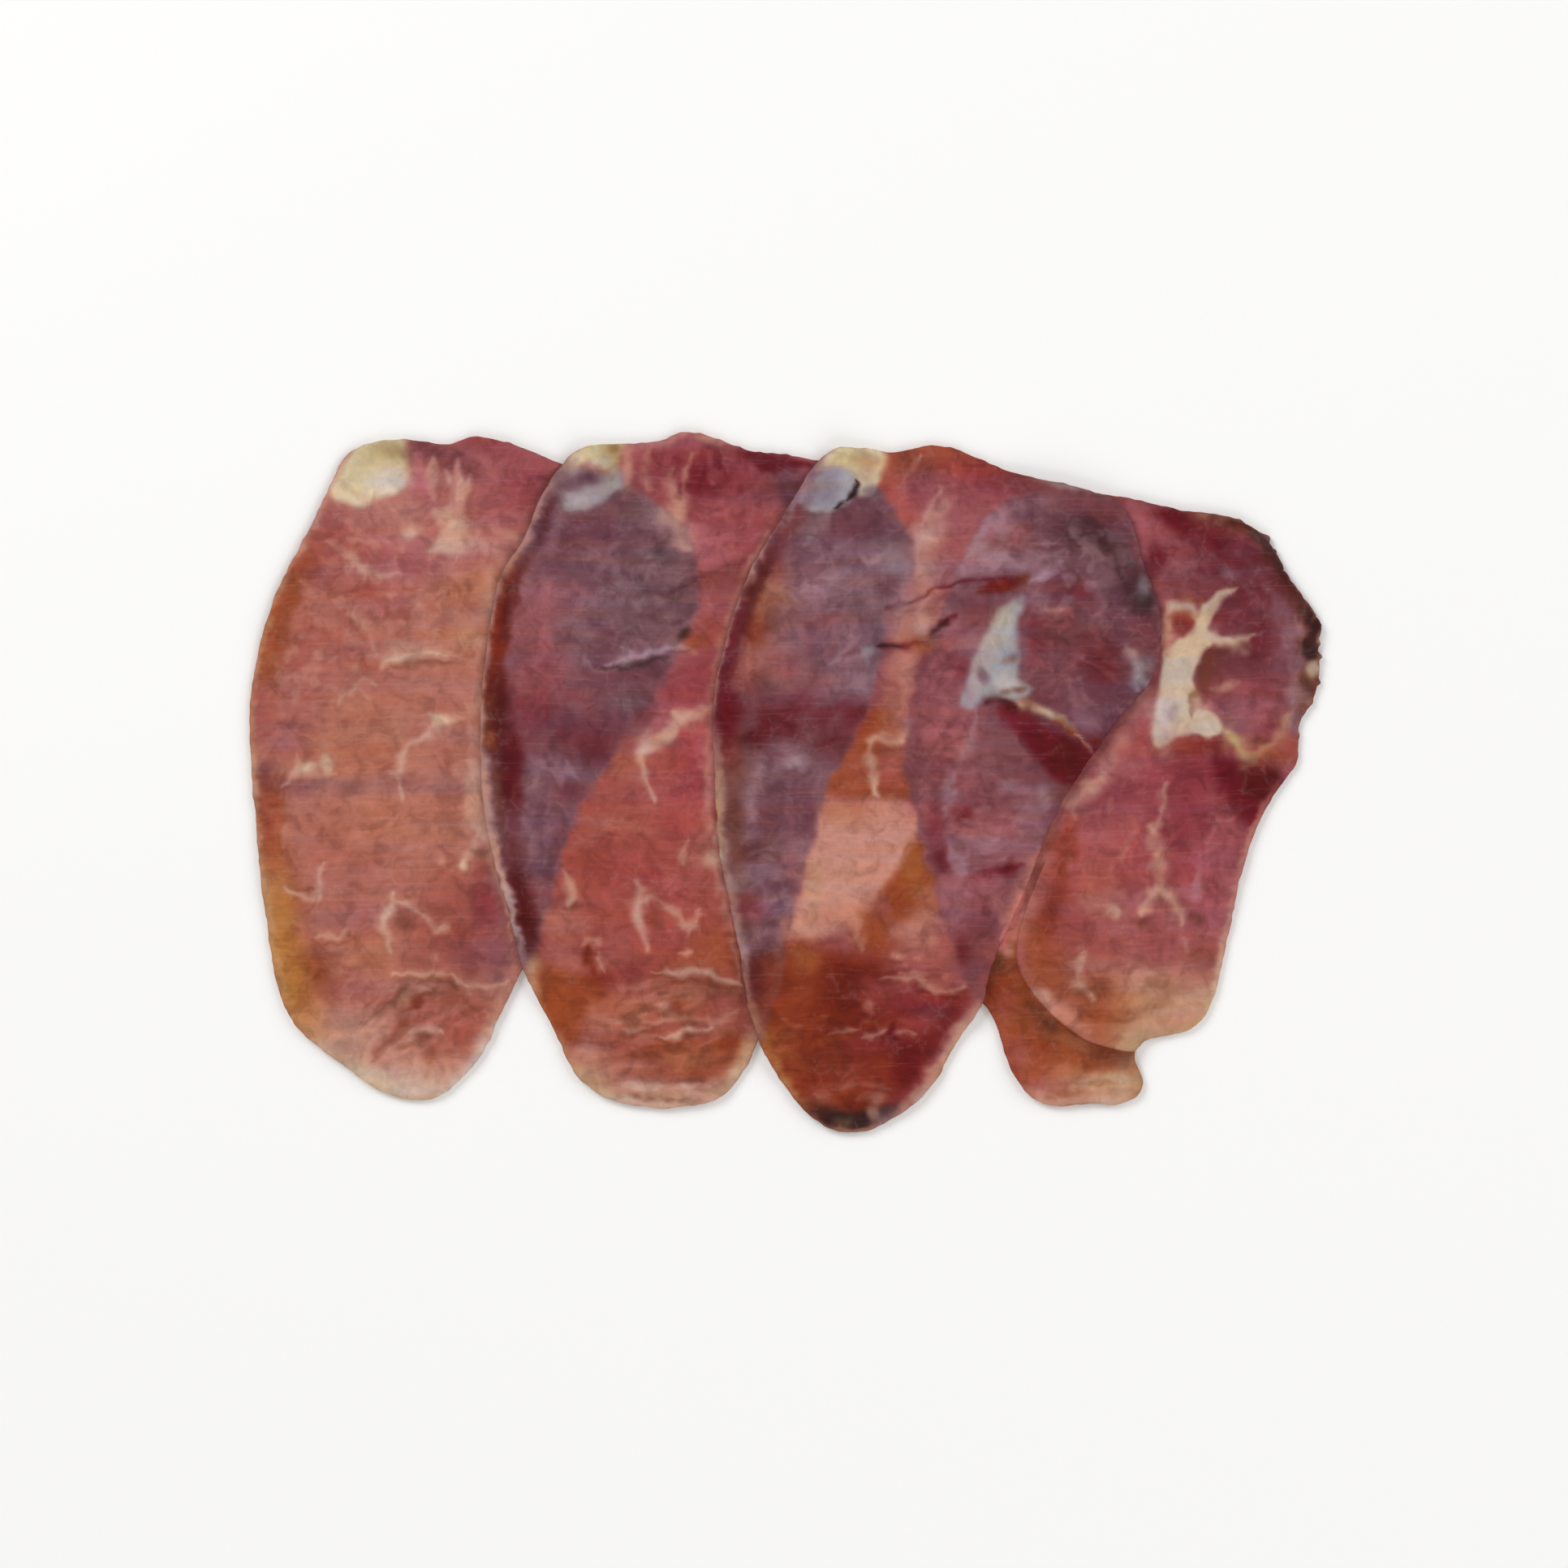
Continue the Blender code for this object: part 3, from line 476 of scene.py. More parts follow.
# The second slice, where the first shows through it
OVER_1 = painted(
    ("mauve", 100, -35, 10, 60, 90), ("rose", 65, -50.5, 33, 5, 12), ("rose", 60, -45, 29, 6, 7),
    ("pink", 30, -45, 36, 4, 2), ("lilac", 30, -50, 41, 4, 2.4, 60), ("plum", 60, -45.4, 42, 3.2, 2.4),
    ("lilac", 30, -44, 52, 2, 4, 60), ("maroon", 75, -38.5, 50.2, 5, 3, 20),
    ("maroon", 40, -42, 46.5, 2.5, 2), ("rose", 35, -36, 46, 3, 1.8, 30), ("plum", 50, -33, 47.5, 4, 4),
    ("slate", 50, -30, 53.5, 5, 3), ("maroon", 40, -33, 56, 4, 1.6, 10), ("plum", 70, -26.4, 48.4, 2.2, 1.6),
    ("slate", 60, -24.5, 53, 3, 2.2), ("slate", 80, -24.6, 44.6, 3.4, 1.6, -12), ("slate", 40, -28, 36, 8, 6),
    ("soot", 14, -23, 36, 5, 5), ("plum", 50, -20, 33.4, 2, 2), ("rose", 40, -42, 37.5, 6, 2, 5),
    ("slate", 45, -41, 29, 4.5, 5), ("maroon", 35, -35, 28, 3, 2.4),
    seam("plum", 70, 1.2, (-39.6, 32.2), (-37, 30.6), (-34.6, 29.2)), ("maroon", 60, -28, 20, 6, 4),
    ("maroon", 50, -36, 21, 6, 4), ("maroon", 40, -51, 18, 5, 6), ("slate", 40, -31, 16, 4, 3),
    ("rose", 55, -39.8, 16, 1.5, 2.6, 20), ("rose", 50, -50, 20, 6, 4), ("pink", 55, -47.2, 21.6, 1.3, 1),
    ("pink", 45, -49.6, 24.6, 1.3, 0.9), ("lilac", 35, -55, 23, 1, 2), ("crimson", 45, -50, 13.5, 7, 4),
    ("maroon", 75, -45, 9, 10, 4.4), ("plum", 35, -45, 10.5, 4, 2), ("garnet", 45, -37, 7, 4, 4, 60),
    ("maroon", 60, -36, 11, 4, 4), ("plum", 55, -48, -3, 7, 8), ("lilac", 22, -49, -4, 6, 7),
    seam("lilac", 60, 1.5, (-50, 4.4), (-47, 2.8), (-45, 1.6), (-44.4, -0.6)),
    seam("lilac", 60, 1.2, (-43.4, 4.2), (-42.4, 2), (-41, 0.6)),
    seam("lilac", 45, 1.3, (-51.4, -2), (-49.6, -1.4), (-48, -0.4)), ("crimson", 45, -43, -2, 2.6, 1.5),
    ("maroon", 50, -40.5, -2.5, 2, 3.4, 60), ("plum", 60, -46, -13, 5, 7, 70), ("mauve", 40, -51, -12, 3, 4),
    seam("lilac", 50, 1.5, (-50.4, -8.6), (-50.4, -12), (-50.8, -15)),
    seam("lilac", 30, 1.2, (-44.6, -4), (-43, -6)), ("plum", 70, -48, -19, 5, 4),
    ("maroon", 50, -50, -25, 3, 5), ("oxblood", 70, -51.4, -28, 2.6, 4.5), ("rose", 25, -44, -11, 3, 8, 15),
    # The lilac streaks round (-34, 38) are painted sheen
    ("garnet", 35, -53, -22, 3, 5), streaks("lilac", 31, 0.9, -34, 38, 12, 16, 25, 3.5),
    streaks("lilac", 26, 0.9, -32, 36, 12, 14, -50, 5), streaks("plum", 44, 1, -34, 38, 13, 16, 10, 2.2),
    streaks("soot", 28, 0.8, -26, 38, 8, 10, 35, 3.5), streaks("pink", 33, 0.8, -49, 28, 5, 14, 80, 3.5),
    streaks("crimson", 39, 0.9, -48, 14, 8, 10, 85, 2.2), streaks("lilac", 44, 0.8, -48, -6, 5, 12, 80, 3.5),
    streaks("plum", 44, 0.9, -46, -8, 6, 12, 70, 3.5),
    # The caps' fat, grey over dark meat
    field("pearl", 80, 1.8, (-46, 56), (-44.4, 54), (-41.5, 53.4), (-39, 53.8), (-36.5, 55.4), (-34, 56.6),
          (-31.6, 58.8), (-30.6, 61), (-31, 65.5), (-34.5, 66), (-37, 64.4), (-40, 64), (-44.6, 63),
          (-46.4, 60)),
    ("mauve", 60, -44.4, 60.6, 1.7, 2.4, 20),
    dabs("plum", 40, 2.8, (-38, 52), (-24, 22), (-42, 50), (-37, 40)),
    dabs("maroon", 50, 2.6, (-28, 12), (-31, 10)), ("plum", 40, -34, 25, 5, 3.4),
    dabs("mauve", 40, 2.8, (-52.4, -3), (-52.4, -11)), ("rose", 40, -48, -22, 2.8, 2.8),
    ("lilac", 30, -49.6, -15, 2.6, 3), ("maroon", 40, -51, 5, 3, 3), ("oxblood", 50, -52.8, -23, 1.4, 4),
    seam("shell", 55, 3.4, (-24.4, 54), (-21.8, 50), (-19.6, 46.4)),
)

# Over all of the second slice
TOP_2 = painted(
    field("straw", 100, 1.6, (-44.6, 61.6), (-41.5, 65.4), (-38, 67.4), (-33.5, 67.8), (-31.4, 67.6),
          (-32.4, 65), (-33, 63), (-34.4, 61.4), (-35.6, 61.4), (-37, 62.4), (-40, 63), (-42.6, 62.2)),
    ("cream", 75, -41.4, 63.6, 3, 1.4, 25), ("cream", 50, -37.4, 64.4, 1.4, 1.8),
    ("pearl", 80, -33.8, 60.4, 1.8, 1.6), ("olive", 80, -34, 65.2, 2, 2),
    ("umber", 35, -33.6, 65.6, 1.2, 1.5), ("olive", 35, -34.8, 61.6, 2, 2.6),
    ("pearl", 50, -35.4, 63, 1.6, 1.2), ("lilac", 35, -26.6, 52, 3, 2), ("maroon", 70, -28, 12, 4, 1.5, 56),
    ("shell", 60, -31.2, 62, 0.9, 4), ("ivory", 50, -38, 62.4, 2.2, 0.9), ("slate", 60, -43, 59, 3, 1.5),
    ("plum", 85, -39.4, 60, 2.6, 1.5, -5), ("plum", 50, -42.6, 58.6, 1.6, 1, -20),
    ("ivory", 20, -42, 56, 3.4, 1.5), ("lilac", 40, -43, 61.4, 1.6, 1),
    seam("slate", 60, 0.8, (-43, 53.2), (-38, 53.4), (-33.6, 56.4), (-30.6, 58.4)),
    # The dark band inside the left edge: the dried rim, and painted shade in the hollow beside the raised
    # edge
    hem("plum", 85, 3, 3, -48, 52, 4.6, 7), hem("oxblood", 45, 2.8, 2, -48.6, 52, 4, 6),
    hem("russet", 95, 2.2, 3.6, -57, 28, 6, 16), hem("oxblood", 50, 3.2, 2.2, -55, 36, 5, 8),
    hem("oxblood", 85, 3.4, 4.4, -57.6, 14, 5, 8), hem("umber", 60, 1.6, 2, -60, 12, 3, 6),
    ("rust", 70, -57.8, 8, 1, 1.5), hem("oxblood", 90, 5.4, 4.2, -57, 1, 6, 7.5),
    hem("garnet", 60, 6.6, 3, -55, 2, 6, 8), hem("maroon", 75, 5.2, 4, -56, -10, 6, 6),
    hem("umber", 45, 3.2, 1.8, -58, -3, 4, 8), hem("oxblood", 75, 3.4, 3.6, -53, -24, 6, 9),
    # The light left edge itself
    hem("mauve", 60, 0.8, 2.2, -45, 59, 5, 5), hem("shell", 50, 0.4, 1.1, -48.6, 53, 4, 5),
    hem("shell", 50, 0.7, 1.7, -52.6, 45.6, 4, 4), hem("slate", 40, 2, 1.6, -52, 47, 4, 4),
    hem("umber", 50, 0.9, 1.8, -55, 39.6, 4, 3), hem("shell", 55, 0, 1.6, -57, 30, 5, 14),
    hem("shell", 60, 0, 1.3, -60, 12, 3, 7), hem("shell", 80, 0.5, 2.2, -60, -4, 5, 10),
    hem("shell", 70, 0.7, 1.8, -57, -17, 4, 6), hem("ivory", 55, 1, 1.5, -54, -27, 4, 8),
    hem("mauve", 40, 0.5, 2, -53, -33, 3, 3),
    # The tendon and the crack, with painted shade (soot) along their sunken lines
    seam("soot", 55, 1.3, (-36.6, 22), (-33, 22.6), (-28, 23.6), (-23, 24.6)),
    seam("lilac", 90, 1.3, (-35.6, 23), (-32.6, 23.8), (-29.6, 25), (-26, 25.4), (-22.6, 26.4),
         (-18.5, 26.4)),
    seam("lilac", 60, 1.1, (-32.4, 26.6), (-30.6, 25.6), (-28.6, 25)),
    seam("lilac", 50, 1.3, (-40, 24.6), (-38.4, 22.4), (-36, 21.4)),
    seam("peach", 50, 1, (-22, 26.4), (-19.6, 26.4), (-17.6, 25.4)), ("soot", 85, -19.6, 29, 1.3, 1.1, 40),
    ("rust", 60, -17.4, 27.4, 2.4, 1.6, 20),
    seam("maroon", 55, 1.3, (-23.6, 36.6), (-20.6, 38.8), (-17, 40.6), (-12.5, 42), (-8, 43.6)),
    seam("soot", 30, 0.8, (-23, 37.2), (-20.6, 38.8), (-17.6, 40.4)),
    ("maroon", 50, -12.4, 39.4, 5.4, 2.2, 18),
)

# The third slice, where it lies on the table
SLICE_3 = painted(
    ("maroon", 30, 40, 0, 30, 60),
    field("rust", 80, 3, (19, 66.5), (30, 68), (44, 63.5), (52, 60), (40, 59.6), (30, 61.5), (24, 60),
          (19, 57)),
    ("brick", 60, 30, 64, 6, 1.8), ("brick", 60, 21.6, 63, 2, 4), ("crimson", 35, 30, 61.5, 6, 2.4),
    ("umber", 60, 27, 62, 2.2, 2.2), ("crimson", 75, 41, 60, 6, 3, -22),
    ("coral", 40, 35.4, 60.6, 4, 1.4, -10), ("maroon", 60, 48, 58.6, 5, 2.4, -18),
    ("umber", 40, 55, 58, 5, 1.4, -10), seam("peach", 75, 1.5, (26.6, 64.6), (24.4, 61.4), (23, 58.8)),
    ("coral", 75, 21.5, 55, 3.6, 5, 20), ("salmon", 35, 22.5, 54, 2.6, 4), ("rose", 60, 29, 59, 4, 3),
    ("crimson", 30, 26, 56, 2.4, 2.4), ("rose", 60, 36, 56.5, 5, 3), ("brick", 50, 24.5, 50, 2.5, 3, 30),
    seam("shell", 60, 1.6, (30.6, 57.6), (28.6, 54), (26.6, 51)),
    seam("shell", 55, 4.2, (32, 55), (28.6, 51), (26.4, 46), (27, 41)), ("lilac", 40, 25, 44.6, 2, 3.4),
    ("peach", 60, 28.2, 48.2, 3, 2.4), ("ivory", 25, 28.4, 48.4, 2, 1.6), ("rose", 50, 33.5, 49, 2.4, 6, -10),
    ("salmon", 60, 27.6, 41, 2.4, 4),
    field("salmon", 80, 3, (30, 38), (27.5, 31), (25.6, 24), (24.4, 17), (22.6, 13), (19, 12), (19.6, 20),
          (20.6, 27), (22, 33), (25, 37)),
    ("apricot", 45, 24.6, 29, 3.4, 2.4, 20), ("lilac", 40, 26.2, 33, 2.4, 4), ("ivory", 18, 27, 41, 2.6, 5),
    ("mauve", 30, 20.6, 28, 1.6, 4), ("peach", 45, 23.4, 22, 2, 3), ("peach", 35, 22.4, 14.6, 1.5, 2.5),
    ("rust", 60, 18.6, 12.4, 2.4, 3, 60),
    field("rust", 85, 3, (18, 14), (21, 12), (23, 8), (24, 2), (24, -4), (15, -4), (7, -3), (10, 3), (14, 9)),
    ("brick", 75, 20.5, 2.4, 3.4, 4), ("coral", 35, 20.5, 3, 2.4, 3), ("brick", 50, 14, 3, 2.4, 4, 70),
    ("brick", 30, 21.4, 18, 1.6, 4), ("salmon", 55, 21.4, 9, 2.8, 8),
    # The pale window
    field("peach", 95, 3.4, (6.6, -3.4), (14, -3.6), (22, -3.6), (26, -7.6), (26.6, -12), (24, -16.6),
          (21, -20), (18, -24), (15.4, -27.6), (10, -29.6), (4, -31), (0, -30), (2, -24), (3.6, -17),
          (5, -10)),
    ("apricot", 50, 11, -6.4, 5, 2.2), ("brick", 70, 9, -4.2, 6, 2), ("shell", 30, 5, -28.4, 5, 2.4),
    ("shell", 35, 10, -19, 6, 5), ("salmon", 40, 9, -27, 5, 2.4), ("pink", 30, 24.4, -5, 2, 2.4),
    ("sand", 35, 5, -21, 1.8, 6),
    field("rust", 100, 3, (26, -10.6), (28.6, -13), (29.4, -20), (29, -27), (22, -27.6), (20.4, -24),
          (18.6, -22), (22, -17.6)),
    ("amber", 30, 25.4, -18, 2, 6, 10), ("russet", 35, 24, -25, 4, 2.4), ("salmon", 60, 28, -23.6, 2, 3.4),
    ("rust", 95, 17.6, -30, 4, 4.6), ("russet", 30, 20, -33, 4, 3),
    seam("peach", 75, 1.8, (13.6, -26), (14, -29), (14.8, -32.4)), ("salmon", 80, 26.4, -30, 4.6, 3.4),
    ("peach", 40, 24, -28.6, 2.4, 1.2), ("salmon", 60, 29, -35, 5, 3), ("coral", 30, 28, -36, 4, 2),
    ("peach", 80, 22, -34, 1.2, 0.7),
    # The lower part
    field("russet", 95, 5, (-9, -33), (0, -31.6), (8, -33), (14, -34), (20, -36), (30, -40), (36, -42),
          (30, -52), (22, -63), (12, -70), (2, -66), (-4, -55)),
    ("russet", 70, 5, -41, 8, 5), ("oxblood", 35, 12, -43, 6, 6), ("rust", 60, 3, -34.6, 4, 3.4),
    ("amber", 35, 3.6, -35, 3, 2.6), ("rust", 50, 2, -44, 5, 5), ("rust", 70, -0.6, -50.5, 4, 5, 60),
    ("amber", 35, -1.8, -50.8, 3, 3.4, 50), ("rust", 40, 3.2, -57, 3, 3.4, 50), ("umber", 40, 8, -55, 5, 4),
    ("rust", 45, -2, -44, 6, 8), ("crimson", 60, 21, -42, 6, 4), ("rose", 40, 20, -41, 5, 2),
    ("crimson", 75, 27, -45, 5, 4), ("garnet", 35, 32.6, -45.6, 3, 4, -30), ("plum", 35, 29, -45.4, 3, 1.6),
    ("garnet", 50, 22, -51.6, 3.4, 3), ("garnet", 60, 27, -52.6, 5, 3, 45), ("garnet", 60, 23.4, -58, 3, 4),
    ("brick", 30, 24, -48, 6, 2.4), ("crimson", 40, 16, -52, 5, 3), ("brick", 40, 13, -58, 6, 3),
    ("rust", 40, 9, -61, 5, 2), ("crimson", 50, 22, -62.5, 2.4, 1.8),
    seam("shell", 60, 1.1, (18.6, -38.6), (23, -38.4), (26, -38.8), (28, -40), (31.6, -41), (35.4, -39.8)),
    seam("peach", 50, 0.9, (22.6, -37.6), (25.4, -37.4), (27.4, -38.6)),
    seam("shell", 50, 0.8, (8, -49), (11, -48.6), (14, -49.2)),
    seam("shell", 60, 0.9, (14.6, -50.8), (18.4, -49.6), (20.4, -48.6)),
    seam("shell", 45, 0.8, (21.4, -49.2), (23.6, -48.8), (25.6, -49.4)),
    seam("garnet", 80, 1.6, (21, -47.6), (21.2, -51)),
    seam("peach", 40, 0.8, (-1, -46.4), (1.5, -48.2), (3.4, -48)), ("peach", 75, 16.2, -44.3, 1.1, 1),
    seam("salmon", 50, 1.2, (9, -60.4), (14, -59.6), (20, -60.2)), ("peach", 70, 18, -62.4, 1.4, 1.1),
    ("soot", 45, 19.2, -65.6, 3, 1.3, 25), ("rust", 50, 7.6, -63.4, 2, 1.2),
    seam("shell", 40, 0.9, (5, -61.4), (9, -62.2)), hem("amber", 60, 0.9, 2.4, -3, -56, 7, 8),
    hem("sand", 40, 0.6, 1.6, 0, -62, 6, 6), streaks("russet", 44, 0.9, 10, -52, 14, 14, 5, 5),
    streaks("rust", 33, 0.8, 8, -50, 14, 14, 3, 5), streaks("coral", 39, 0.9, 24, -44, 8, 6, 0, 3.5),
    streaks("peach", 44, 0.9, 27, -33, 6, 7, -5, 3.5), streaks("salmon", 39, 0.8, 12, -61, 8, 3, 0, 5),
    hem("shell", 70, 0.9, 2.6, 30, -55, 9, 12), hem("sand", 55, 0.4, 1.6, 33, -52, 8, 10),
    hem("soot", 95, 2.2, 4, 13, -68, 9.5, 4.6), hem("sand", 55, 0, 1.2, 13, -69, 8, 3.4),
    hem("shell", 50, 0.8, 2, 21, -65, 3, 3), ("olive", 35, 11, -66.8, 2, 1),
    ("slate", 45, 20, -65.6, 2.4, 1.2, 25), ("shell", 55, 17.4, -65, 1.1, 1.5),
    # The net of seams beside the window, with painted shadow (umber) beside them
    seam("shell", 75, 2, (28, 12), (25.4, 11.6), (23.4, 9.6), (21.6, 8)),
    seam("shell", 90, 1.9, (23.4, 8), (20.4, 8.4), (18, 8.6), (16.8, 6.6), (17, 3), (17.6, -2.4)),
    ("lilac", 50, 24.6, 11.4, 1.5, 1.2), seam("umber", 50, 1, (24.4, 9.8), (27, 9.4)),
    seam("umber", 40, 1, (18.8, 6.2), (21, 6.8), (23.4, 6.4)),
    dabs("russet", 40, 3.6, (-2, -38), (-2, -43), (1, -47), (7, -58)),
    dabs("brick", 40, 2.8, (32, -32), (31, -37), (22, 62)),
    dabs("maroon", 40, 2.6, (25.4, 60), (34.4, -35.6)), ("russet", 40, 15, 11, 1.8, 3, -20),
    ("umber", 30, 27, 8, 2, 1.4), ("crimson", 35, 37, 57, 4, 2.4), ("salmon", 50, 26.6, 28, 1.8, 2.4),
    ("maroon", 35, 27.4, 22, 1.8, 3), ("salmon", 50, 29.6, 30.6, 2, 3),
    dabs("lilac", 35, 2.8, (31, 42), (32, 33), (29, 30), (24.6, 47)), ("rose", 40, 38.6, 42.4, 3, 1.6),
    ("ivory", 40, 26.8, -62.4, 2.4, 1.2, 45), hem("pearl", 50, 0.3, 1.8, 57, 58, 7, 3),
)

# The third slice, where the second shows through it
OVER_2 = painted(
    ("mauve", 100, 5, 10, 60, 90), ("plum", 40, 15, 50, 6, 7), ("slate", 40, 4, 54.4, 6, 2),
    ("maroon", 30, -2, 43, 3, 4), ("maroon", 35, 14.6, 13, 3, 4),
    seam("maroon", 50, 5, (-5, 44), (0, 48), (4, 52)),
    seam("lilac", 55, 1.7, (8.4, 53.4), (6, 50), (3.4, 46.6)), seam("rose", 40, 2, (3, 52), (0, 48.6)),
    ("maroon", 60, 13, 51, 3.6, 2.4), ("plum", 60, 15.5, 52.6, 5, 4), ("plum", 45, 18, 49, 3, 3),
    ("slate", 45, 20, 46.4, 3, 1.6, -10), ("pearl", 40, 21.4, 43, 3, 2.6), ("plum", 60, 21.6, 38.2, 2.2, 2.2),
    ("lilac", 50, 24.2, 38.6, 1.2, 3.6, 10), ("lilac", 35, 12, 43, 8, 4, 20), ("lilac", 40, 5, 38.4, 4, 3),
    ("pink", 25, 4.6, 38.6, 3, 2.4), ("lilac", 20, 14, 36, 8, 4), ("slate", 30, 16, 32, 6, 4),
    ("rose", 35, 9, 31, 5, 3), ("apricot", 60, -3.4, 37, 3.4, 4.6, 70), ("brick", 50, -2.4, 41.6, 2.6, 2.4),
    ("russet", 75, -6.2, 30.4, 2.4, 4.2, -12), ("rust", 40, -3.6, 27, 3, 4), ("umber", 35, -3, 32, 1.2, 3),
    ("salmon", 50, -3, 23.6, 4, 3), ("rose", 70, 1.6, 25.6, 4.4, 5), ("coral", 35, 0.6, 22.8, 2.4, 2),
    ("brick", 60, -8, 22, 2.5, 5), seam("salmon", 40, 1.2, (-7.2, 27.2), (-7.4, 24), (-7, 21)),
    ("maroon", 40, -6.6, 19, 2.4, 3), ("lilac", 40, 14, 19, 4, 3), ("rose", 40, 6, 19, 3, 2.4),
    ("pearl", 60, 16, 25.6, 1.8, 1.4, 40), seam("lilac", 60, 1.2, (8.6, 23), (12, 24), (15.4, 25)),
    seam("lilac", 40, 1, (13, 29.4), (12.6, 26.6), (10.6, 25.4)),
    seam("slate", 70, 1.5, (19, 33.6), (17.8, 28), (16.6, 21), (16.8, 15)), ("maroon", 75, -2, 14.6, 12, 3),
    ("garnet", 85, -11, 13.4, 2.4, 3), ("garnet", 70, -1.6, 12, 3.4, 2.6), ("oxblood", 75, -6, 8.8, 5, 2.2),
    ("garnet", 60, 14, 13.4, 4, 2.6, -20), ("garnet", 45, 11, 8, 4, 5, 60), ("maroon", 50, 7, 10, 4, 4),
    ("crimson", 40, 3, 16, 3, 2), ("plum", 40, 0, 7.4, 4, 2), ("lilac", 30, -1, 6.8, 3, 1.8),
    ("ivory", 50, 1.4, 3.8, 1.3, 1, 20), ("lilac", 50, 1.6, 4.4, 2.2, 1.5),
    seam("lilac", 60, 1.7, (-6.8, 3.4), (-7.2, -3), (-7, -8), (-7.2, -12.4)), ("lilac", 40, -4, 1.4, 3, 1.6),
    ("maroon", 65, 3.4, -6, 3.4, 5), ("maroon", 50, -2.6, -7, 3, 4), ("umber", 35, -3, -13, 5, 2.4),
    ("oxblood", 50, -7.6, -14, 2.2, 1.8), ("lilac", 35, 3.6, -14, 2.4, 5, 70), ("lilac", 50, -8, -19, 4, 2.2),
    ("lilac", 55, -4, -18.4, 3, 1.8), ("pearl", 30, -9, -20, 2.4, 1.6), ("plum", 80, -2.4, -21, 3.6, 1.1),
    ("lilac", 55, -1.6, -24.4, 3.4, 2, 20), ("crimson", 70, -7.2, -24.4, 3, 2.2),
    ("pink", 60, -6.8, -26.2, 0.9, 0.9), ("plum", 75, -2.6, -28, 3, 1.1, 20), ("lilac", 35, -5, -30.6, 4, 2),
    ("salmon", 80, 0.6, -28.4, 1.8, 2.4), seam("lilac", 70, 2, (-10.6, -29), (-9, -32), (-7.4, -34.6)),
    ("oxblood", 50, -4, -34.6, 3, 2), ("garnet", 60, -5, -41, 3, 4), ("oxblood", 70, -4.8, -38, 2.8, 4),
    ("rust", 60, -1, -38, 4, 5), ("rust", 40, -4, -47, 3, 5),
    seam("lilac", 50, 1.6, (1.6, 36.8), (7, 39.2), (13, 41.8), (21, 45)),
    seam("lilac", 35, 0.9, (-1, 52.6), (3, 49.6), (6.6, 47.6)),
    # The lilac streaks round (9, 36) are painted sheen
    streaks("lilac", 33, 0.9, 9, 36, 10, 16, 22, 3.5), streaks("plum", 44, 1, 9, 36, 10, 16, 60, 2.2),
    streaks("rose", 39, 0.9, 2, 26, 9, 10, 70, 2.2), streaks("salmon", 33, 0.9, -5, 28, 4, 10, 85, 5),
    streaks("garnet", 44, 1.1, 2, 11, 13, 5, 10, 2.2), streaks("lilac", 44, 0.8, -3, 1, 8, 8, 75, 3.5),
    streaks("plum", 50, 0.9, -2, -4, 8, 12, 80, 3.5), streaks("lilac", 44, 0.9, -4, -22, 5, 10, 15, 2.2),
    streaks("plum", 50, 0.9, -4, -26, 5, 9, 25, 3.5), dabs("slate", 50, 2.8, (6, 52), (4, 50), (6, 54)),
    ("umber", 35, -8.4, 3, 2, 3), ("rose", 40, 1.4, -17, 2, 4),
)

